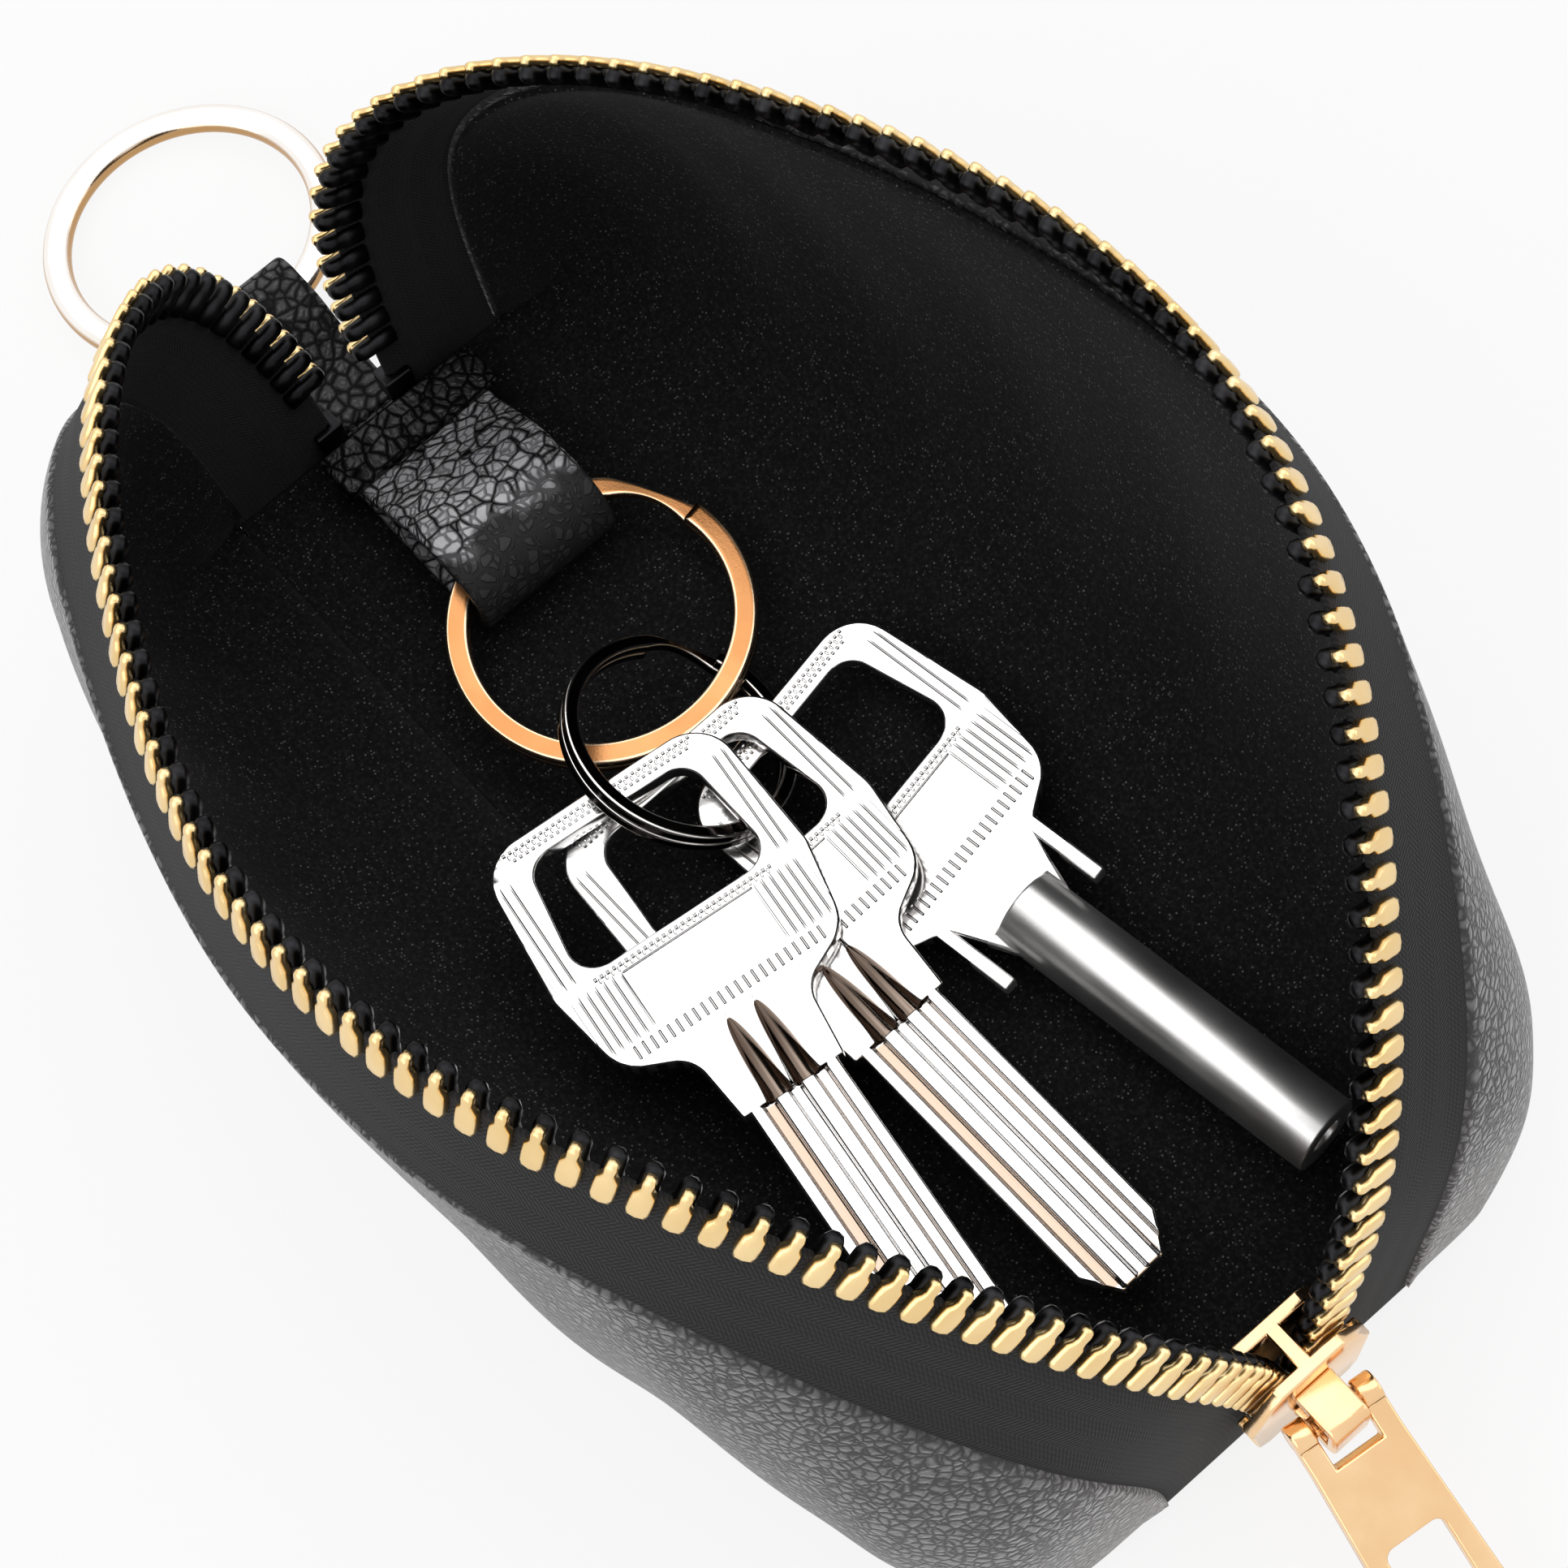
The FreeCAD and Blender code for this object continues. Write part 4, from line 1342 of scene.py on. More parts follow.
class Repeater:
    """Geometry node tree that sets one or more small shapes on points."""

    def __init__(self, name: str, shapes: tuple[str, ...]) -> None:
        """Builds the tree.

        Args:
            name: Name of the tree.
            shapes: Names of the shapes that go on each point.
        """
        self.name = name
        self.shapes = shapes
        self.tree = bpy.data.node_groups.new(name, "GeometryNodeTree")
        self.tree.is_modifier = True
        self.inputs: dict[str, str] = {}
        face = self.tree.interface
        face.new_socket("Places", in_out="INPUT", socket_type="NodeSocketGeometry")
        face.new_socket("Pieces", in_out="OUTPUT", socket_type="NodeSocketGeometry")
        for shape in shapes:
            self.declare(f"{shape} shape", "NodeSocketObject")
            self.declare(f"{shape} finish", "NodeSocketMaterial")
        nodes = self.tree.nodes
        start = nodes.new("NodeGroupInput")
        end = nodes.new("NodeGroupOutput")
        turn = nodes.new("GeometryNodeInputNamedAttribute")
        turn.data_type = "QUATERNION"
        turn.inputs["Name"].default_value = "turn"
        join = nodes.new("GeometryNodeJoinGeometry")
        link = self.tree.links.new
        for shape in shapes:
            info = nodes.new("GeometryNodeObjectInfo")
            spread = nodes.new("GeometryNodeInstanceOnPoints")
            real = nodes.new("GeometryNodeRealizeInstances")
            finish = nodes.new("GeometryNodeSetMaterial")
            link(start.outputs["Places"], spread.inputs["Points"])
            link(start.outputs[f"{shape} shape"], info.inputs["Object"])
            link(info.outputs["Geometry"], spread.inputs["Instance"])
            link(turn.outputs["Attribute"], spread.inputs["Rotation"])
            link(spread.outputs["Instances"], real.inputs["Geometry"])
            link(real.outputs["Geometry"], finish.inputs["Geometry"])
            link(start.outputs[f"{shape} finish"], finish.inputs["Material"])
            link(finish.outputs["Geometry"], join.inputs["Geometry"])
        link(join.outputs["Geometry"], end.inputs["Pieces"])

    def declare(self, name: str, kind: str) -> None:
        """Adds a named input to the tree."""
        socket = self.tree.interface.new_socket(name, in_out="INPUT", socket_type=kind)
        self.inputs[name] = socket.identifier

    def spread(
        self,
        name: str,
        points: np.ndarray,
        frames: np.ndarray,
        shapes: dict[str, tuple[bpy.types.Object, bpy.types.Material]],
    ) -> bpy.types.Object:
        """Sets the shapes on points and bakes them to one mesh.

        Args:
            name: Name of the new object.
            points: Places in millimetres.
            frames: A turning matrix for each place.
            shapes: Shape and finish by the tree's own shape names.

        Returns:
            The new object.
        """
        mesh = bpy.data.meshes.new(name)
        mesh.from_pydata((points * MM).tolist(), [], [])
        turns = [list(Matrix(frame.tolist()).to_quaternion()) for frame in frames]
        layer = mesh.attributes.new("turn", "QUATERNION", "POINT")
        layer.data.foreach_set("value", np.array(turns, dtype=np.float32).ravel())
        piece = shown(name, mesh)
        modifier = piece.modifiers.new(self.name, "NODES")
        modifier.node_group = self.tree
        for shape, (source, finish) in shapes.items():
            modifier[self.inputs[f"{shape} shape"]] = source
            modifier[self.inputs[f"{shape} finish"]] = finish
        return baked(piece)


@dataclass
class LeatherShell:
    """Two leather panels, the base strip and the cloth that lines them.

    Starts, ends and closing are shares of the mouth line. Waves are turns along the line, turns up it
    and the angle that they start at.
    """

    form: ShellForm
    finishes: Finishes
    panel_start: float = 0.006
    panel_end: float = 0.994
    closing: float = 0.03
    crowding: float = 0.36
    panel_columns: int = 260
    panel_steps: int = 44
    rim_round: float = 0.6
    rim_share: float = 0.022
    rim_steps: int = 6
    lining_start: float = 0.012
    lining_end: float = 0.988
    lining_top: float = 1.01
    lining_columns: int = 160
    lining_steps: int = 30
    lining_gap: float = 0.45
    lining_thick: float = 0.7
    flat_columns: int = 80
    flat_steps: int = 40
    pucker: float = 0.34
    pucker_waves: tuple[float, float, float] = (4.6, 0.7, 0.4)
    ripple: float = 0.2
    ripple_waves: tuple[float, float, float] = (10.3, -1.6, 1.9)
    fade_up: float = 0.8
    fade_along: float = 0.5
    base_edge: float = 0.55
    base_edge_steps: int = 4
    base_spread: float = 0.1
    base_turn_up: float = 0.32
    base_turn_width: float = 1.4
    base_end_reach: float = 0.3
    base_lip: float = 1.2
    base_lip_width: float = 1.6
    base_lip_steps: int = 8
    base_rows: int = 113
    base_columns: int = 61
    base_gap: float = 0.02

    def pucker_at(self, shares: np.ndarray, heights: np.ndarray) -> np.ndarray:
        """How far the soft sheet bulges from its plain form.

        Args:
            shares: Places along the mouth line.
            heights: Places from foot to seam.

        Returns:
            Lengths in millimetres by share and by height.
        """
        s = shares[:, None]
        h = np.minimum(heights, 1.0)[None, :]
        wave = np.zeros((len(shares), len(heights)))
        waves = ((self.pucker, self.pucker_waves), (self.ripple, self.ripple_waves))
        for size, (along, up, start) in waves:
            wave += size * np.sin(math.tau * (along * s + up * h) + start)
        return wave * np.sin(math.pi * h) ** self.fade_up * np.sin(math.pi * s) ** self.fade_along

    def drawn_in(self, points: np.ndarray, shares: np.ndarray, heights: np.ndarray) -> np.ndarray:
        """A surface with both its ends drawn in to the straight line from foot to seam.

        Args:
            points: The surface, by share and by height.
            shares: Places along the mouth line.
            heights: Places from foot to seam.

        Returns:
            The surface with closed ends.
        """
        near = np.minimum(shares - shares[0], shares[-1] - shares)
        pull = smooth(np.clip(1.0 - near / self.closing, 0.0, 1.0))
        foot = points[:, :1]
        seam = points[:, [int(np.argmax(heights))]]
        chord = foot + (seam - foot) * (heights / heights.max())[None, :, None]
        return points + (chord - points) * pull[:, None, None]

    def sheet(
        self,
        name: str,
        side: Side,
        shares: np.ndarray,
        top: float,
        middle: float,
        thick: float,
        steps: int,
    ) -> bpy.types.Object:
        """Soft sheet that follows the shell, closed and with round edges.

        Args:
            name: Name of the new object.
            side: The half of the case.
            shares: Places along the mouth line.
            top: Height at which the sheet ends.
            middle: Distance of the sheet's middle from the shell's middle.
            thick: Thickness of the sheet.
            steps: Faces from foot to top.

        Returns:
            The new object.
        """
        half = thick / 2
        swing = np.linspace(0.0, math.pi, self.rim_steps + 1)[1:-1]
        rim = min(self.rim_round, half) * self.rim_share
        climb = np.linspace(0.0, 1.0, steps + 1) * (top - rim)
        heights = np.concatenate([climb, top - rim + rim * np.sin(swing), climb[::-1]])
        face = np.full(steps + 1, half)
        offsets = np.concatenate([face, half * np.cos(swing), -face])
        inner = self.drawn_in(self.form.surface(middle - half, shares, heights), shares, heights)
        outer = self.drawn_in(self.form.surface(middle + half, shares, heights), shares, heights)
        across = (outer - inner) / thick
        bulge = offsets + self.pucker_at(shares, heights)
        grid = (outer + inner) / 2 + across * bulge[:, :, None]
        return lattice(name, side.turn(grid))

    def columns(self, start: float, end: float, count: int) -> np.ndarray:
        """Places along the mouth line, closer together at both ends.

        Args:
            start: The first place.
            end: The last place.
            count: How many steps lie between them.

        Returns:
            The places in order.
        """
        even = np.linspace(0.0, 1.0, count + 1)
        eased = even - self.crowding * np.sin(math.tau * even) / math.tau
        return start + (end - start) * eased

    def build(self, nodes: dict[str, bpy.types.Object]) -> None:
        """Makes, dresses and settles the shell.

        Args:
            nodes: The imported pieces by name.
        """
        for side in Side:
            self.build_half(side)
        strip = edged_copy(
            nodes["base_strip"], "base_leather", self.base_edge, self.base_edge_steps
        )
        settle(strip, self.finishes.leather, "case", "case_leather", "base_strip")
        grid = self.base_grid()
        cloth = lattice("base_cloth", grid)
        settle(cloth, self.finishes.lining, "case", "lining_cloth", "base_lining")

    def build_half(self, side: Side) -> None:
        """Makes, dresses and settles one panel and its lining.

        Args:
            side: The half of the case.
        """
        panel = self.sheet(
            f"{side.prefix}_leather",
            side,
            self.columns(self.panel_start, self.panel_end, self.panel_columns),
            top=1.0,
            middle=0.0,
            thick=self.form.leather,
            steps=self.panel_steps,
        )
        settle(panel, self.finishes.leather, "case", "case_leather", f"{side.prefix}_panel")
        lining = self.sheet(
            f"{side.prefix}_cloth",
            side,
            self.columns(self.lining_start, self.lining_end, self.lining_columns),
            top=self.lining_top,
            middle=-self.form.leather / 2 - self.lining_gap - self.lining_thick / 2,
            thick=self.lining_thick,
            steps=self.lining_steps,
        )
        settle(lining, self.finishes.lining, "case", "lining_cloth", f"{side.prefix}_lining")
        shares = np.linspace(self.lining_start, self.lining_end, self.flat_columns)
        heights = np.linspace(0.0, self.lining_top, self.flat_steps)
        inner = self.form.surface(-self.form.leather, shares, heights)

    def base_grid(self) -> np.ndarray:
        """Cloth on the base strip, turned up at its sides and with a lip at the strap end.

        Returns:
            Points by place along the strip and round the cloth's section.
        """
        low, high = (np.array(corner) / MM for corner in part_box("base_lining"))
        half = high[1] + self.base_spread
        across = np.linspace(-half, half, self.base_columns)
        edge = np.clip((np.abs(across) - half) / self.base_turn_width + 1.0, 0.0, 1.0)
        rise = self.base_turn_up * edge**2
        first = low[0] - self.base_end_reach
        lip_end = first + self.base_lip_width
        lip = np.linspace(first, lip_end, self.base_lip_steps + 1)[:-1]
        rest = np.linspace(lip_end, high[0] + self.base_end_reach, self.base_rows)
        along = np.concatenate([lip, rest])
        lift = self.base_lip * np.clip(1.0 - (along - first) / self.base_lip_width, 0.0, 1.0) ** 2
        top = np.column_stack([across, high[2] + rise])
        foot = np.column_stack([across, low[2] + self.base_gap + rise])
        loop = np.concatenate([top, foot[::-1]])
        grid = np.empty((len(along), len(loop), 3))
        grid[:, :, 0] = along[:, None]
        grid[:, :, 1:] = loop[None, :, :]
        grid[:, :, 2] += lift[:, None]
        return grid


@dataclass(frozen=True)
class ZipTooth:
    """One tooth, with its head towards the mouth's middle and its jaws on the tape.

    The body has one section for each place along the tooth. The cap has rings that shrink as they
    rise, each given by its inset and its height.
    """

    places: tuple[float, ...] = (-1.3, -1.12, -0.55, 0.25, 0.75, 1.2, 2.76, 2.92)
    widths: tuple[float, ...] = (0.25, 0.6, 0.8, 0.78, 0.8, 0.92, 0.94, 0.8)
    lows: tuple[float, ...] = (-0.55, -0.85, -1.1, -1.15, -1.05, -1.15, -1.15, -0.95)
    highs: tuple[float, ...] = (0.1, 0.3, 0.45, 0.45, 0.45, 0.5, 0.5, 0.4)
    sides: int = 8
    swell: float = 1.06
    cap_head: tuple[float, float] = (0.0, -1.28)
    cap_flank: tuple[tuple[float, float], ...] = (
        (0.32, -1.18),
        (0.46, -0.85),
        (0.42, -0.3),
        (0.5, 0.15),
        (0.8, 0.55),
        (0.87, 1.3),
        (0.87, 2.3),
        (0.72, 2.76),
    )
    cap_foot: tuple[float, float] = (0.0, 2.92)
    cap_centre: tuple[float, float] = (0.0, 1.0)
    cap_rings: tuple[tuple[float, float], ...] = (
        (0.0, 0.36),
        (0.0, 0.84),
        (0.13, 1.06),
        (0.36, 1.15),
    )
    cap_long_inset: float = 0.4

    def body(self) -> bpy.types.Object:
        """Dark body with a round bead at its head.

        Returns:
            The new object.
        """
        angles = np.arange(self.sides) / self.sides * math.tau + math.pi / self.sides
        rings = []
        for place, wide, low, high in zip(self.places, self.widths, self.lows, self.highs):
            x = wide * np.cos(angles) * self.swell
            z = (low + high) / 2 + (high - low) / 2 * np.sin(angles) * self.swell
            rings.append(np.stack([x, np.full(self.sides, place), z], axis=1))
        return lattice("tooth_body", np.array(rings))

    def cap(self) -> bpy.types.Object:
        """Bright cap on the outer face, shaped like a bottle.

        Returns:
            The new object.
        """
        left = [(-x, y) for x, y in reversed(self.cap_flank)]
        outline = np.array([self.cap_head, *self.cap_flank, self.cap_foot, *left])
        centre = np.array(self.cap_centre)
        rings = []
        for inset, lift in self.cap_rings:
            shrink = np.array([1.0 - inset, 1.0 - inset * self.cap_long_inset])
            flat = centre + (outline - centre) * shrink
            rings.append(np.column_stack([flat, np.full(len(flat), lift)]))
        return lattice("tooth_cap", np.array(rings))


@dataclass
class ZipChain:
    """Woven tapes with their teeth and stops."""

    form: ShellForm
    finishes: Finishes
    tooth: ZipTooth = ZipTooth()
    tape_inner: float = 1.0
    tape_outer: float = 12.5
    tape_half: float = 0.3
    tape_columns: int = 420
    tape_points: int = 13
    tape_edge_steps: int = 4
    pitch: float = 2.6
    first_tooth: float = 7.4
    last_gap: float = 8.0
    drawn_from: Point = (0.045, 0.0, 0.045)
    drawn_to: Point = (0.0605, 0.0, 0.02)
    stop_edge: float = 0.22

    def tape_loop(self) -> tuple[np.ndarray, np.ndarray]:
        """Loop round the tape's section, with round edges.

        Returns:
            How far down the tape each point lies, and how far out of it.
        """
        reach = np.linspace(self.tape_inner, self.tape_outer, self.tape_points)
        swing = np.linspace(-math.pi / 2, math.pi / 2, self.tape_edge_steps + 1)[1:-1]
        turn = self.tape_half * np.cos(swing)
        edge = self.tape_half * np.sin(swing)
        face = np.full(self.tape_points, self.tape_half)
        reaches = np.concatenate(
            [reach, self.tape_outer + turn, reach[::-1], self.tape_inner - turn]
        )
        return reaches, np.concatenate([-face, edge, face, -edge])

    def build_tape(self, side: Side) -> None:
        """Makes, dresses and settles one half of the tape.

        Args:
            side: The half of the case.
        """
        shares = np.linspace(0.0, 1.0, self.tape_columns + 1)
        down, out = self.form.tape(shares)
        reaches, outs = self.tape_loop()
        grid = (
            self.form.mouth(shares)[:, None, :]
            + down[:, None, :] * reaches[None, :, None]
            + out[:, None, :] * outs[None, :, None]
        )
        lengths = np.interp(shares, self.form.sampled, self.form.lengths)
        tape = lattice(f"{side.prefix}_tape", side.turn(grid), uv=paired(lengths, reaches))
        settle(tape, self.finishes.tape, "case", "zip_tape", f"{side.prefix}_zip_tape")

    def build_teeth(self, side: Side, chain: Repeater) -> None:
        """Sets one row of teeth along its tape.

        Args:
            side: The half of the case.
            chain: The node tree that sets the teeth.
        """
        start = self.first_tooth + (self.pitch / 2 if side is Side.FRONT else 0.0)
        count = int((self.form.lengths[-1] - self.last_gap - start) / self.pitch) + 1
        shares = self.form.shares_at(start + self.pitch * np.arange(count))
        down, out = (side.turn(rows) for rows in self.form.tape(shares))
        frames = np.stack([np.cross(down, out), down, out], axis=-1)
        body = self.tooth.body()
        cap = self.tooth.cap()
        teeth = chain.spread(
            f"{side.prefix}_teeth",
            side.turn(self.form.mouth(shares)),
            frames,
            {"Body": (body, self.finishes.oxide), "Cap": (cap, self.finishes.brass)},
        )
        for spare in (body, cap):
            bpy.data.objects.remove(spare)
        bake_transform(teeth)
        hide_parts(f"{side.prefix}_zip_teeth")
        log.info("%s lies between case and slider with %d teeth", teeth.name, count)

    def build(self, nodes: dict[str, bpy.types.Object]) -> None:
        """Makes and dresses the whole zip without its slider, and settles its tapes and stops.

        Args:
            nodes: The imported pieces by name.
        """
        chain = Repeater("zip_chain", ("Body", "Cap"))
        for side in Side:
            self.build_tape(side)
            self.build_teeth(side, chain)
        for name in ("back_top_stop", "front_top_stop", "bottom_stop"):
            stop = edged_copy(nodes[name], f"{name}_clip", self.stop_edge)
            finish = self.finishes.brass if name == "bottom_stop" else self.finishes.oxide
            settle(stop, finish, "case", "zip_brass", name)


@dataclass
class ZipSlider:
    """Slider with its crown, lock spring and puller."""

    finishes: Finishes
    edge: float = 0.22
    edge_steps: int = 3
    spring_edge: float = 0.08

    def build(self, nodes: dict[str, bpy.types.Object]) -> None:
        """Rounds, dresses and settles the hard pieces.

        Args:
            nodes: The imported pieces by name.
        """
        bodies = {"slider_body": "slider", "slider_crown": "slider", "puller": "puller"}
        for name, body in bodies.items():
            piece = edged_copy(nodes[name], f"{name}_gilt", self.edge, self.edge_steps)
            settle(piece, self.finishes.gilt, body, "slider_gilt", name)
        spring = edged_copy(nodes["lock_spring"], "lock_leaf", self.spring_edge)
        settle(spring, self.finishes.steel, "slider", "spring_steel", "lock_spring")


@dataclass(frozen=True)
class LoopStrap:
    """Leather strap folded into a loop, with its tail laid on itself.

    The heading is 1 where the fold points to the slider end, and -1 where it points away.
    """

    name: str
    pivot: Point
    heading: float
    width: float
    thick: float
    radius: float
    loop_length: float
    slope_length: float
    tail_length: float
    bend: float = 4.0
    bend_steps: int = 8
    fold_steps: int = 29
    step: float = 0.45
    slack: float = 0.06
    corner: float = 0.42
    column: float = 0.9

    def path(self) -> np.ndarray:
        """Line of the strap's middle, from the lower tail round the fold.

        Returns:
            Points as rows of place along and height.
        """
        c = self.radius + self.thick / 2
        slope_end = -self.loop_length - self.slope_length
        tail_end = slope_end - self.tail_length
        fold = np.linspace(-math.pi / 2, math.pi / 2, self.fold_steps + 1)
        line = [np.array([tail_end, -c])]
        line += [c * np.array([math.cos(angle), math.sin(angle)]) for angle in fold]
        corners = [
            np.array([0.0, c]),
            np.array([-self.loop_length, c]),
            np.array([slope_end, -c + self.thick]),
            np.array([tail_end, -c + self.thick]),
        ]
        for before, corner, after in zip(corners, corners[1:], corners[2:]):
            back = before - corner
            ahead = after - corner
            reach = min(self.bend, np.linalg.norm(back) / 2, np.linalg.norm(ahead) / 2)
            first = corner + unit(back) * reach
            last = corner + unit(ahead) * reach
            for t in np.linspace(0.0, 1.0, self.bend_steps + 1):
                line.append((1 - t) ** 2 * first + 2 * t * (1 - t) * corner + t**2 * last)
        line = np.array([*line, corners[-1]])
        lengths = lengths_along(line)
        places = np.linspace(0.0, lengths[-1], int(lengths[-1] / self.step))
        return np.stack([np.interp(places, lengths, line[:, k]) for k in range(2)], axis=1)

    def section(self) -> np.ndarray:
        """Loop round the strap's section, with columns of points across its faces.

        Returns:
            Points as rows of width and height.
        """
        loop = rounded_section(self.width, self.thick - self.slack, self.corner)
        runs = []
        for here, there in zip(loop, np.roll(loop, -1, axis=0)):
            count = max(1, int(abs(there[0] - here[0]) / self.column))
            runs.append(np.linspace(here, there, count + 1)[:-1])
        return np.concatenate(runs)

    def build(self, finish: bpy.types.Material, slot: str, node: str) -> None:
        """Sweeps the strap along its path, dresses and settles it.

        Args:
            finish: The strap's material.
            slot: The record's material slot.
            node: The node that it stands for.
        """
        path = self.path()
        section = self.section()
        run = unit(np.gradient(path, axis=0))
        across = np.stack([-run[:, 1], run[:, 0]], axis=1)
        grid = np.zeros((len(path), len(section), 3))
        grid[:, :, 0] = path[:, None, 0] + across[:, None, 0] * section[None, :, 1]
        grid[:, :, 1] = section[None, :, 0]
        grid[:, :, 2] = path[:, None, 1] + across[:, None, 1] * section[None, :, 1]
        grid[:, :, 0] *= self.heading
        uv = paired(lengths_along(path), section[:, 0])
        strap = lattice(self.name, grid + np.array(self.pivot), uv=uv)
        settle(strap, finish, "case", slot, node)


@dataclass
class Straps:
    """The inner strap with its patch, and the outer strap."""

    finishes: Finishes
    inner: LoopStrap = LoopStrap(
        "inner_strap",
        pivot=(-36.7, 2.0, 7.4),
        heading=1.0,
        width=14.5,
        thick=1.5,
        radius=3.0,
        loop_length=4.2,
        slope_length=9.0,
        tail_length=4.9,
    )
    outer: LoopStrap = LoopStrap(
        "ring_strap",
        pivot=(-71.7, 0.0, 3.5),
        heading=-1.0,
        width=8.0,
        thick=1.3,
        radius=2.2,
        loop_length=3.0,
        slope_length=6.0,
        tail_length=4.7,
    )
    patch_edge: float = 0.45
    patch_edge_steps: int = 4

    def build(self, nodes: dict[str, bpy.types.Object]) -> None:
        """Makes, dresses and settles the straps.

        Args:
            nodes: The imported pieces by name.
        """
        self.inner.build(self.finishes.strap, "strap_leather", "key_strap")
        self.outer.build(self.finishes.outer, "case_leather", "outer_strap")
        patch = edged_copy(
            nodes["strap_patch"], "sewn_patch", self.patch_edge, self.patch_edge_steps
        )
        settle(patch, self.finishes.patch, "case", "strap_leather", "strap_patch")


@dataclass(frozen=True)
class WoundRing:
    """Ring of flat wire wound twice, with the step where one coil climbs to the other.

    Step, climb and facet are degrees round the ring.
    """

    name: str
    radius: float
    wire: float
    coil: float
    step_at: float
    climb: float = 38.0
    pinch: float = 0.6
    corner: float = 0.24
    gap: float = 0.03
    facet: float = 2.5

    def build(self, place: Matrix) -> bpy.types.Object:
        """Sweeps the wire.

        Args:
            place: Where the ring's middle goes and how it leans, in millimetres.

        Returns:
            The ring as an object.
        """
        full = 720.0 - self.climb
        turns = np.linspace(0.0, full, int(full / self.facet) + 1)
        flat = 360.0 - self.climb
        ease = np.clip((turns - flat) / self.climb, 0.0, 1.0)
        lift = (smooth(ease) - 0.5) * self.coil
        section, marks = marked_section(self.wire, self.coil - self.gap, self.corner)
        slim = 1.0 - self.pinch * np.sin(math.pi * ease)
        reach = self.radius + slim[:, None] * section[None, :, 0]
        heights = lift[:, None] + section[None, :, 1]
        grid = swept_round(np.radians(turns + self.step_at), reach, heights)
        return lattice(self.name, moved(grid, place), uv=paired(turns, marks))


@dataclass
class Rings:
    """The gilt key ring, the dark split ring and the outer ring."""

    finishes: Finishes
    gilt: WoundRing = WoundRing("gilt_ring", radius=12.4, wire=2.0, coil=0.95, step_at=139.0)
    dark: WoundRing = WoundRing(
        "dark_ring", radius=9.7, wire=1.3, coil=1.05, step_at=155.0, corner=0.2
    )
    key_place: Point = (-25.6, 2.0, 7.4)
    split_place: Point = (-12.0, -0.5, 9.2)
    split_lean: float = -30.0
    split_tip: float = 6.7
    outer_pivot: Point = (-71.7, 0.0, 3.5)
    outer_reach: float = 12.34
    outer_droop: float = -5.0
    outer_radius: float = 12.7
    outer_wire: float = 2.6
    outer_thick: float = 1.8
    outer_corner: float = 0.75
    outer_corner_steps: int = 5
    outer_line: float = 0.85
    outer_facets: int = 144

    def build(self) -> None:
        """Makes, dresses and settles the rings."""
        gilt = self.gilt.build(Matrix.Translation(self.key_place))
        settle(gilt, self.finishes.ring_gilt, "key_ring", "ring_gilt", "key_ring")
        lean = Matrix.Rotation(math.radians(self.split_lean), 4, "X")
        tip = Matrix.Rotation(math.radians(self.split_tip), 4, "Y")
        dark = self.dark.build(Matrix.Translation(self.split_place) @ tip @ lean)
        settle(dark, self.finishes.ring_dark, "split_ring", "ring_dark", "split_ring")
        self.build_outer()

    def build_outer(self) -> None:
        """Makes the plain round ring outside the case, painted near white as a painted reflection, with a
        darker line along both its rims.
        """
        section, _ = marked_section(
            self.outer_wire, self.outer_thick, self.outer_corner, self.outer_corner_steps
        )
        inset = np.abs(section[:, 0]) - self.outer_wire / 2
        marks = np.clip(inset / self.outer_line + 1.0, 0.0, 1.0)
        angles = np.linspace(0.0, math.tau, self.outer_facets + 1)[:-1]
        reach = self.outer_radius + section[None, :, 0]
        grid = swept_round(angles, reach, section[None, :, 1])
        grid[:, :, 0] -= self.outer_reach
        droop = Matrix.Rotation(math.radians(self.outer_droop), 4, "Y")
        place = Matrix.Translation(self.outer_pivot) @ droop
        uv = paired(angles, marks)
        ring = lattice("plain_ring", moved(grid, place), closed_path=True, uv=uv)
        settle(ring, self.finishes.ring_pale, "outer_ring", "ring_gilt", "outer_ring")


@dataclass(frozen=True)
class KeyPose:
    """Where one key lies: the middle of its window and its turns in degrees."""

    node: str
    place: Point
    yaw: float
    pitch: float
    roll: float

    def matrix(self) -> Matrix:
        """From the key's own frame to the case's frame.

        Returns:
            The matrix, in millimetres.
        """
        yaw = Matrix.Rotation(math.radians(self.yaw), 4, "Z")
        pitch = Matrix.Rotation(math.radians(-self.pitch), 4, "Y")
        roll = Matrix.Rotation(math.radians(self.roll), 4, "X")
        return Matrix.Translation(self.place) @ yaw @ pitch @ roll


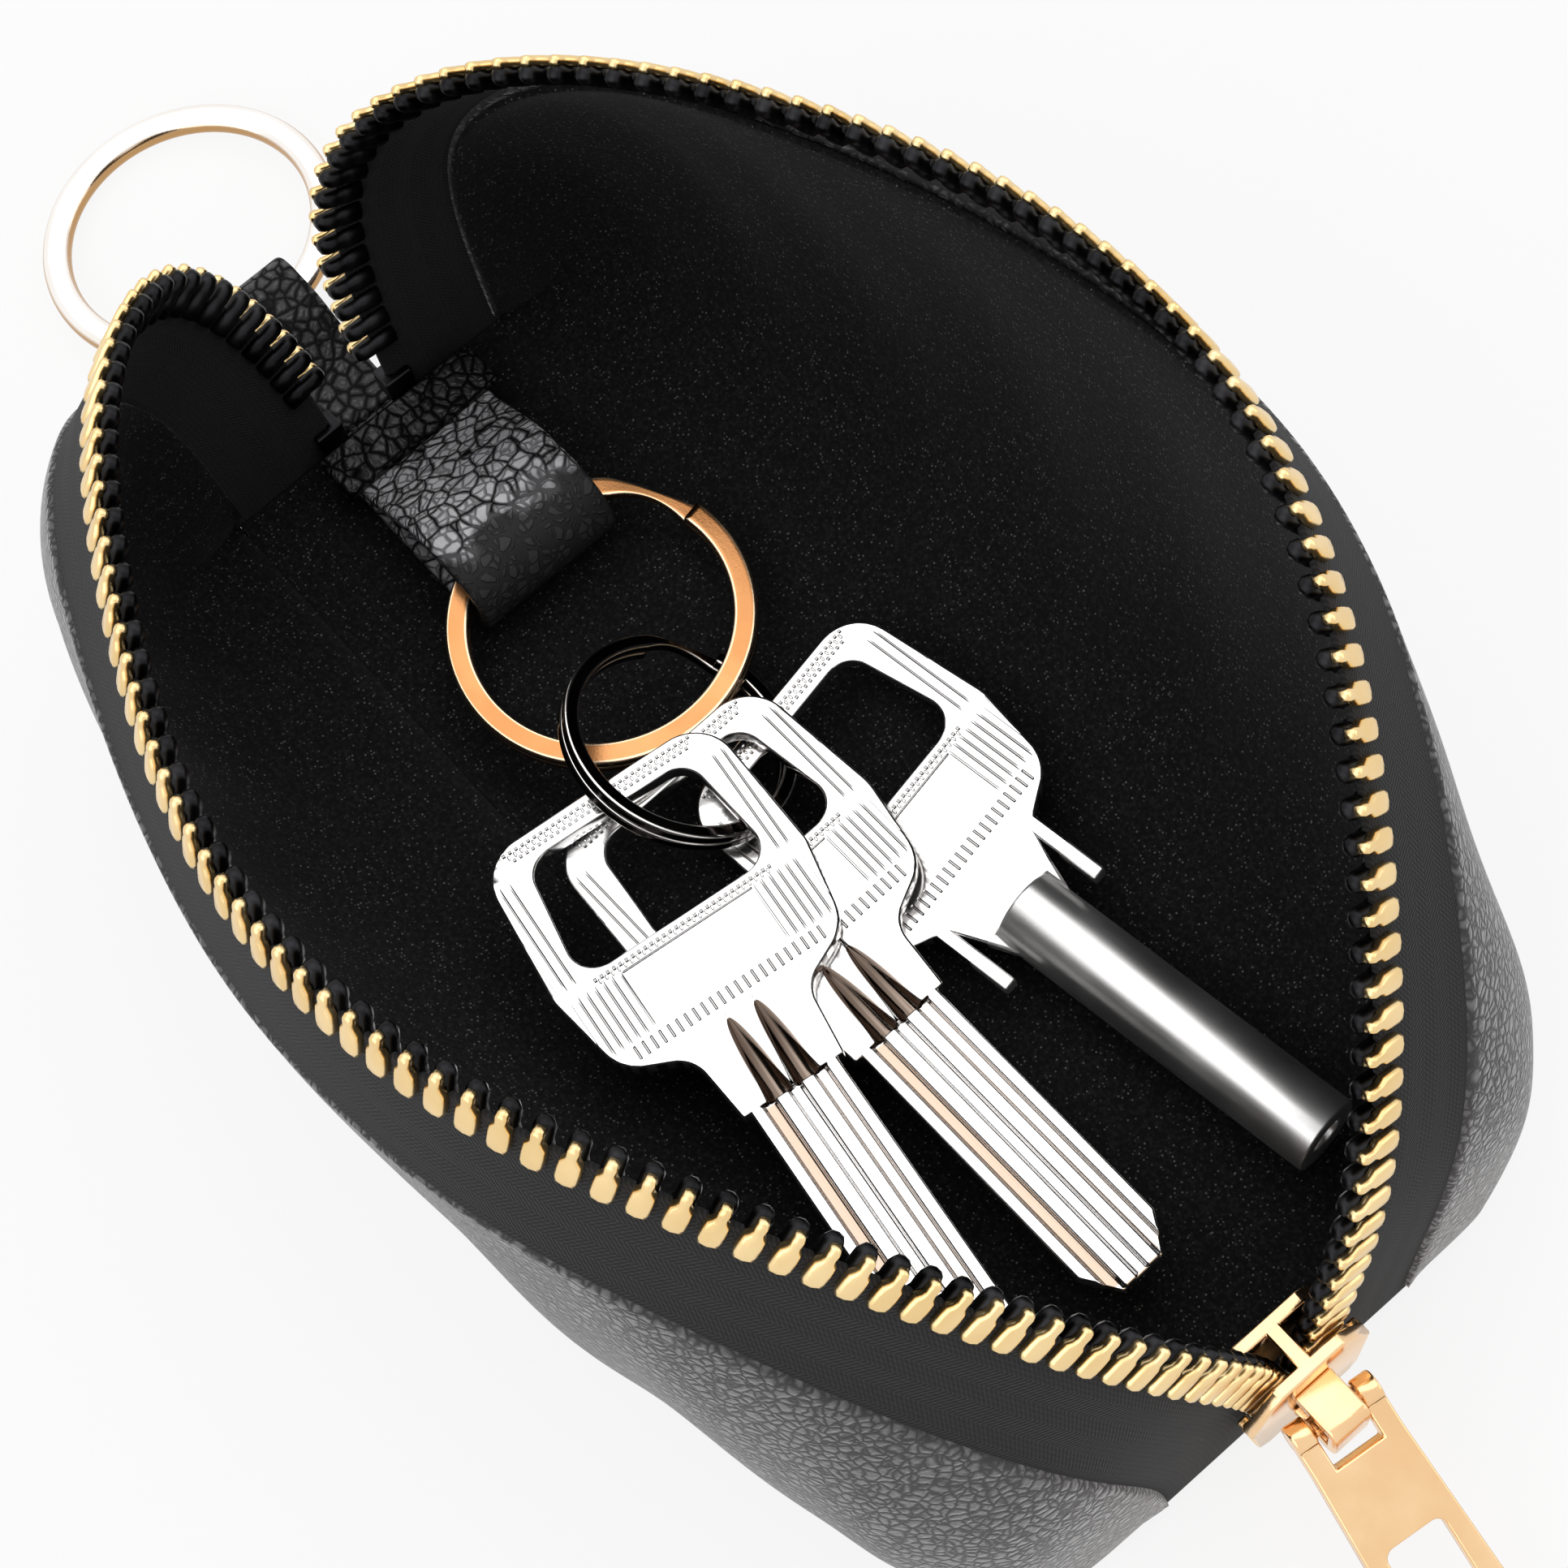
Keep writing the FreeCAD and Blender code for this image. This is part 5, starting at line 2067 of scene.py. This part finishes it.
@dataclass
class Keys:
    """Three plated keys with rows of pips round their windows.

    Each row of pips has its place along the key and its half length. A pip's rings have a size and
    a height.
    """

    finishes: Finishes
    edge: float = 0.24
    edge_steps: int = 3
    face: float = 0.9
    pip_pitch: float = 0.6
    pip_half: tuple[float, float] = (0.3, 0.15)
    pip_sides: int = 6
    pip_rings: tuple[tuple[float, float], ...] = ((1.0, -0.12), (0.95, 0.04), (0.5, 0.08))
    pip_rows: tuple[tuple[float, float], ...] = ((-6.85, 8.7), (6.6, 8.1))
    wall_limit: float = 0.5
    tube_key: str = "key_c"
    cone_start: float = 15.0
    cone_tip: float = 0.85
    cone_slack: float = 0.06
    cone_end_share: float = 0.999
    tube_radius: float = 3.4
    shoulder_share: float = 0.1
    poses: tuple[KeyPose, ...] = (
        KeyPose("key_a", (-4.6, -10.2, 11.4), yaw=-7.8, pitch=1.5, roll=1.1),
        KeyPose("key_b", (-3.7, -3.8, 9.15), yaw=1.0, pitch=1.5, roll=0.9),
        KeyPose("key_c", (-2.0, 8.2, 6.9), yaw=8.3, pitch=1.3, roll=7.5),
    )

    def pip(self) -> bpy.types.Object:
        """Low rounded pip, longer one way.

        Returns:
            The new object.
        """
        angles = np.arange(self.pip_sides) / self.pip_sides * math.tau
        long, wide = self.pip_half
        rings = []
        for size, lift in self.pip_rings:
            x = long * size * np.cos(angles)
            y = wide * size * np.sin(angles)
            rings.append(np.column_stack([x, y, np.full(self.pip_sides, lift)]))
        return lattice("pip", np.array(rings))

    def pip_places(self) -> np.ndarray:
        """Places of the pips on one face, between the pressed lines.

        Returns:
            Points in the key's own flat frame.
        """
        rows = []
        for ahead, half in self.pip_rows:
            across = np.arange(-half, half + self.pip_pitch / 2, self.pip_pitch)
            rows.append(np.column_stack([np.full(len(across), ahead), across]))
        return np.concatenate(rows)

    def build(self, nodes: dict[str, bpy.types.Object]) -> None:
        """Rounds, marks, dresses and settles the keys.

        Args:
            nodes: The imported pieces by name.
        """
        rows = Repeater("key_pips", ("Pip",))
        for pose in self.poses:
            matrix = pose.matrix()
            tubular = pose.node == self.tube_key
            reshape = partial(self.short_shoulder, matrix) if tubular else None
            key = edged_copy(
                nodes[pose.node], f"{pose.node}_plate", self.edge, self.edge_steps, reshape
            )
            self.map_key(key, matrix, not tubular)
            settle(key, self.finishes.nickel, pose.node, "key_nickel", pose.node)
            self.build_pips(pose, rows)

    def build_pips(self, pose: KeyPose, rows: Repeater) -> None:
        """Sets the pips on both faces of a key and settles them.

        Args:
            pose: Where the key lies.
            rows: The node tree that sets the pips.
        """
        matrix = pose.matrix()
        turn = np.array(matrix)[:3, :3]
        flat = self.pip_places()
        places = []
        frames = []
        for side in (1.0, -1.0):
            places.append(np.column_stack([flat, np.full(len(flat), side * self.face)]))
            frames += [turn @ np.diag([1.0, side, side])] * len(flat)
        pip = self.pip()
        pips = rows.spread(
            f"{pose.node}_pips",
            moved(np.concatenate(places), matrix),
            np.array(frames),
            {"Pip": (pip, self.finishes.nickel)},
        )
        bpy.data.objects.remove(pip)
        settle(pips, None, pose.node, "key_nickel")

    def short_shoulder(self, matrix: Matrix, points: np.ndarray) -> np.ndarray:
        """Draws the tube key's cone together, so that its neck stays flat up to the tube.

        Args:
            matrix: From the key's own frame to the case's frame.
            points: The key's points in the case's frame.

        Returns:
            The moved points.
        """
        local = moved(points, matrix.inverted())
        share = (local[:, 0] - self.cone_start) / (TUBE_START - self.cone_start)
        reach = self.cone_tip + (self.tube_radius - self.cone_tip) * share
        off = np.abs(np.hypot(local[:, 1], local[:, 2]) - reach)
        on_cone = (share > 0.0) & (share < self.cone_end_share) & (off < self.cone_slack)
        drawn = TUBE_START - (TUBE_START - local[:, 0]) * self.shoulder_share
        local[:, 0] = np.where(on_cone, drawn, local[:, 0])
        return moved(local, matrix)

    def map_key(self, key: bpy.types.Object, matrix: Matrix, fluted: bool) -> None:
        """Gives a key a UV map in its own flat frame, in millimetres, and marks its walls and flutes.

        Args:
            key: The key's plate.
            matrix: From the key's own frame to the case's frame.
            fluted: Whether the key has hollows at its neck and a grooved blade.
        """
        mesh = key.data
        points = np.empty(len(mesh.vertices) * 3)
        mesh.vertices.foreach_get("co", points)
        local = moved(points.reshape(-1, 3) / MM, matrix.inverted())
        map_points(mesh, local[:, :2])
        normals = np.empty(len(mesh.polygons) * 3)
        mesh.polygons.foreach_get("normal", normals)
        level = np.abs(normals.reshape(-1, 3) @ np.array(matrix)[:3, 2])
        marks = {"wall": level < self.wall_limit, "fluted": np.full(len(level), fluted)}
        for name, values in marks.items():
            layer = mesh.attributes.new(name, "FLOAT", "FACE")
            layer.data.foreach_set("value", values.astype(np.float32))


@dataclass(frozen=True)
class PhotoCamera:
    """Camera at the photograph's place."""

    azimuth: float = 64.014
    elevation: float = 67.925
    roll: float = -15.895
    focal_pixels: float = 4478.8
    right_shift: float = 4.259
    up_shift: float = -8.675
    distance: float = 265.616
    target: Point = (0.0, 0.0, 45.0)
    sensor: float = 36.0
    clip_start: float = 0.01

    def build(self) -> None:
        """Places the camera and makes it the scene's own."""
        turn = math.radians(self.azimuth)
        rise = math.radians(self.elevation)
        roll = math.radians(self.roll)
        flat = math.cos(rise)
        back = Vector((math.sin(turn) * flat, -math.cos(turn) * flat, math.sin(rise)))
        level = Vector((math.cos(turn), math.sin(turn), 0.0))
        upright = back.cross(level)
        right = level * math.cos(roll) + upright * math.sin(roll)
        up = upright * math.cos(roll) - level * math.sin(roll)
        aim = Vector(self.target) + right * self.right_shift + up * self.up_shift
        place = Matrix.Translation((aim + back * self.distance) * MM)
        data = bpy.data.cameras.new("photo_camera")
        data.sensor_fit = "HORIZONTAL"
        data.sensor_width = self.sensor
        data.lens = self.focal_pixels / IMAGE_SIZE * self.sensor
        data.clip_start = self.clip_start
        camera = bpy.data.objects.new("photo_camera", data)
        camera.matrix_world = place @ Matrix((right, up, back)).transposed().to_4x4()
        bpy.context.scene.collection.objects.link(camera)
        bpy.context.scene.camera = camera


@dataclass(frozen=True)
class Softbox:
    """One soft square lamp, its places and size in metres."""

    name: str
    place: Point
    size: float
    power: float
    aim: Point = (0.0, 0.0, 0.03)

    def build(self) -> None:
        """Hangs the lamp so that it faces the case."""
        data = bpy.data.lights.new(self.name, "AREA")
        data.shape = "SQUARE"
        data.size = self.size
        data.energy = self.power
        lamp = bpy.data.objects.new(self.name, data)
        lamp.location = self.place
        ray = Vector(self.aim) - Vector(self.place)
        lamp.rotation_euler = ray.to_track_quat("-Z", "Y").to_euler()
        bpy.context.scene.collection.objects.link(lamp)


@dataclass
class Studio:
    """White floor, soft lamps and the room's light, with lengths in metres."""

    floor_half: float = 1.6
    floor_drop: float = 0.00005
    floor_shade: Colour = (0.89, 0.88, 0.885, 1.0)
    floor_colour: Colour = (0.9, 0.89, 0.895, 1.0)
    floor_lumps: float = 9.0
    floor_roughness: float = 0.9
    floor_glow_share: float = 0.84
    room_light: float = 0.42
    lamps: tuple[Softbox, ...] = (
        Softbox("top_box", (-0.2, 0.18, 0.8), size=1.05, power=3.6),
        Softbox("near_box", (0.15, -0.85, 0.58), size=1.15, power=4.6),
        Softbox("side_box", (0.45, 0.75, 0.4), size=0.7, power=1.2),
    )

    def build(self) -> None:
        """Makes the floor, the lamps and the world."""
        corners = ((-1.0, -1.0), (1.0, -1.0), (1.0, 1.0), (-1.0, 1.0))
        points = [(x * self.floor_half, y * self.floor_half, 0.0) for x, y in corners]
        mesh = bpy.data.meshes.new("floor")
        mesh.from_pydata(points, [], [(0, 1, 2, 3)])
        mesh.materials.append(self.floor_finish())
        floor = shown("floor", mesh)
        floor.location.z = -self.floor_drop
        for lamp in self.lamps:
            lamp.build()
        self.build_world()
        bpy.context.scene.view_settings.view_transform = "Standard"

    def seen(self, tree: bpy.types.NodeTree) -> bpy.types.NodeSocket:
        """Finds out whether the camera, a mirror or glass looks at a place.

        Args:
            tree: The node tree of the floor or the world.

        Returns:
            One where the place is looked at, else nothing.
        """
        path = tree.nodes.new("ShaderNodeLightPath")
        value = path.outputs["Is Camera Ray"]
        for name in ("Is Glossy Ray", "Is Transmission Ray"):
            both = tree.nodes.new("ShaderNodeMath")
            both.operation = "MAXIMUM"
            tree.links.new(value, both.inputs[0])
            tree.links.new(path.outputs[name], both.inputs[1])
            value = both.outputs[0]
        return value

    def floor_finish(self) -> bpy.types.Material:
        """Pale floor that keeps the shadow.

        Returns:
            The floor's material.
        """
        board = NodeBoard("floor_paper")
        grain = board.noise(self.floor_lumps, detail=2.0)
        board.set(
            Base_Color=board.tint(grain, self.floor_shade, self.floor_colour),
            Roughness=self.floor_roughness,
        )
        glow = board.add("ShaderNodeEmission", {"Color": WHITE, "Strength": 1.0})
        share = board.product(self.seen(board.tree), self.floor_glow_share)
        mix = board.add("ShaderNodeMixShader", {})
        for socket, value in zip(mix.inputs, (share, board.shader.outputs[0], glow.outputs[0])):
            board.feed(socket, value)
        out = board.tree.nodes["Material Output"]
        board.feed(out.inputs["Surface"], mix.outputs[0])
        return board.material

    def build_world(self) -> None:
        """White room, dimmer as a lamp than as a background."""
        world = bpy.data.worlds.new("white_room")
        world.use_nodes = True
        bpy.context.scene.world = world
        tree = world.node_tree
        back = tree.nodes["Background"]
        back.inputs["Color"].default_value = WHITE
        level = tree.nodes.new("ShaderNodeMapRange")
        level.inputs["To Min"].default_value = self.room_light
        level.inputs["To Max"].default_value = 1.0
        tree.links.new(self.seen(tree), level.inputs["Value"])
        tree.links.new(level.outputs[0], back.inputs["Strength"])


def main() -> None:
    """Builds the classes in order."""
    logging.basicConfig(level=logging.INFO, format="%(name)s: %(message)s")
    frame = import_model()
    nodes = frame["nodes"]
    PhotoCamera().build()
    Studio().build()
    finishes = Finishes()
    form = ShellForm()
    LeatherShell(form, finishes).build(nodes)
    ZipChain(form, finishes).build(nodes)
    ZipSlider(finishes).build(nodes)
    Straps(finishes).build(nodes)
    Rings(finishes).build()
    Keys(finishes).build(nodes)


if __name__ == "__main__":
    main()
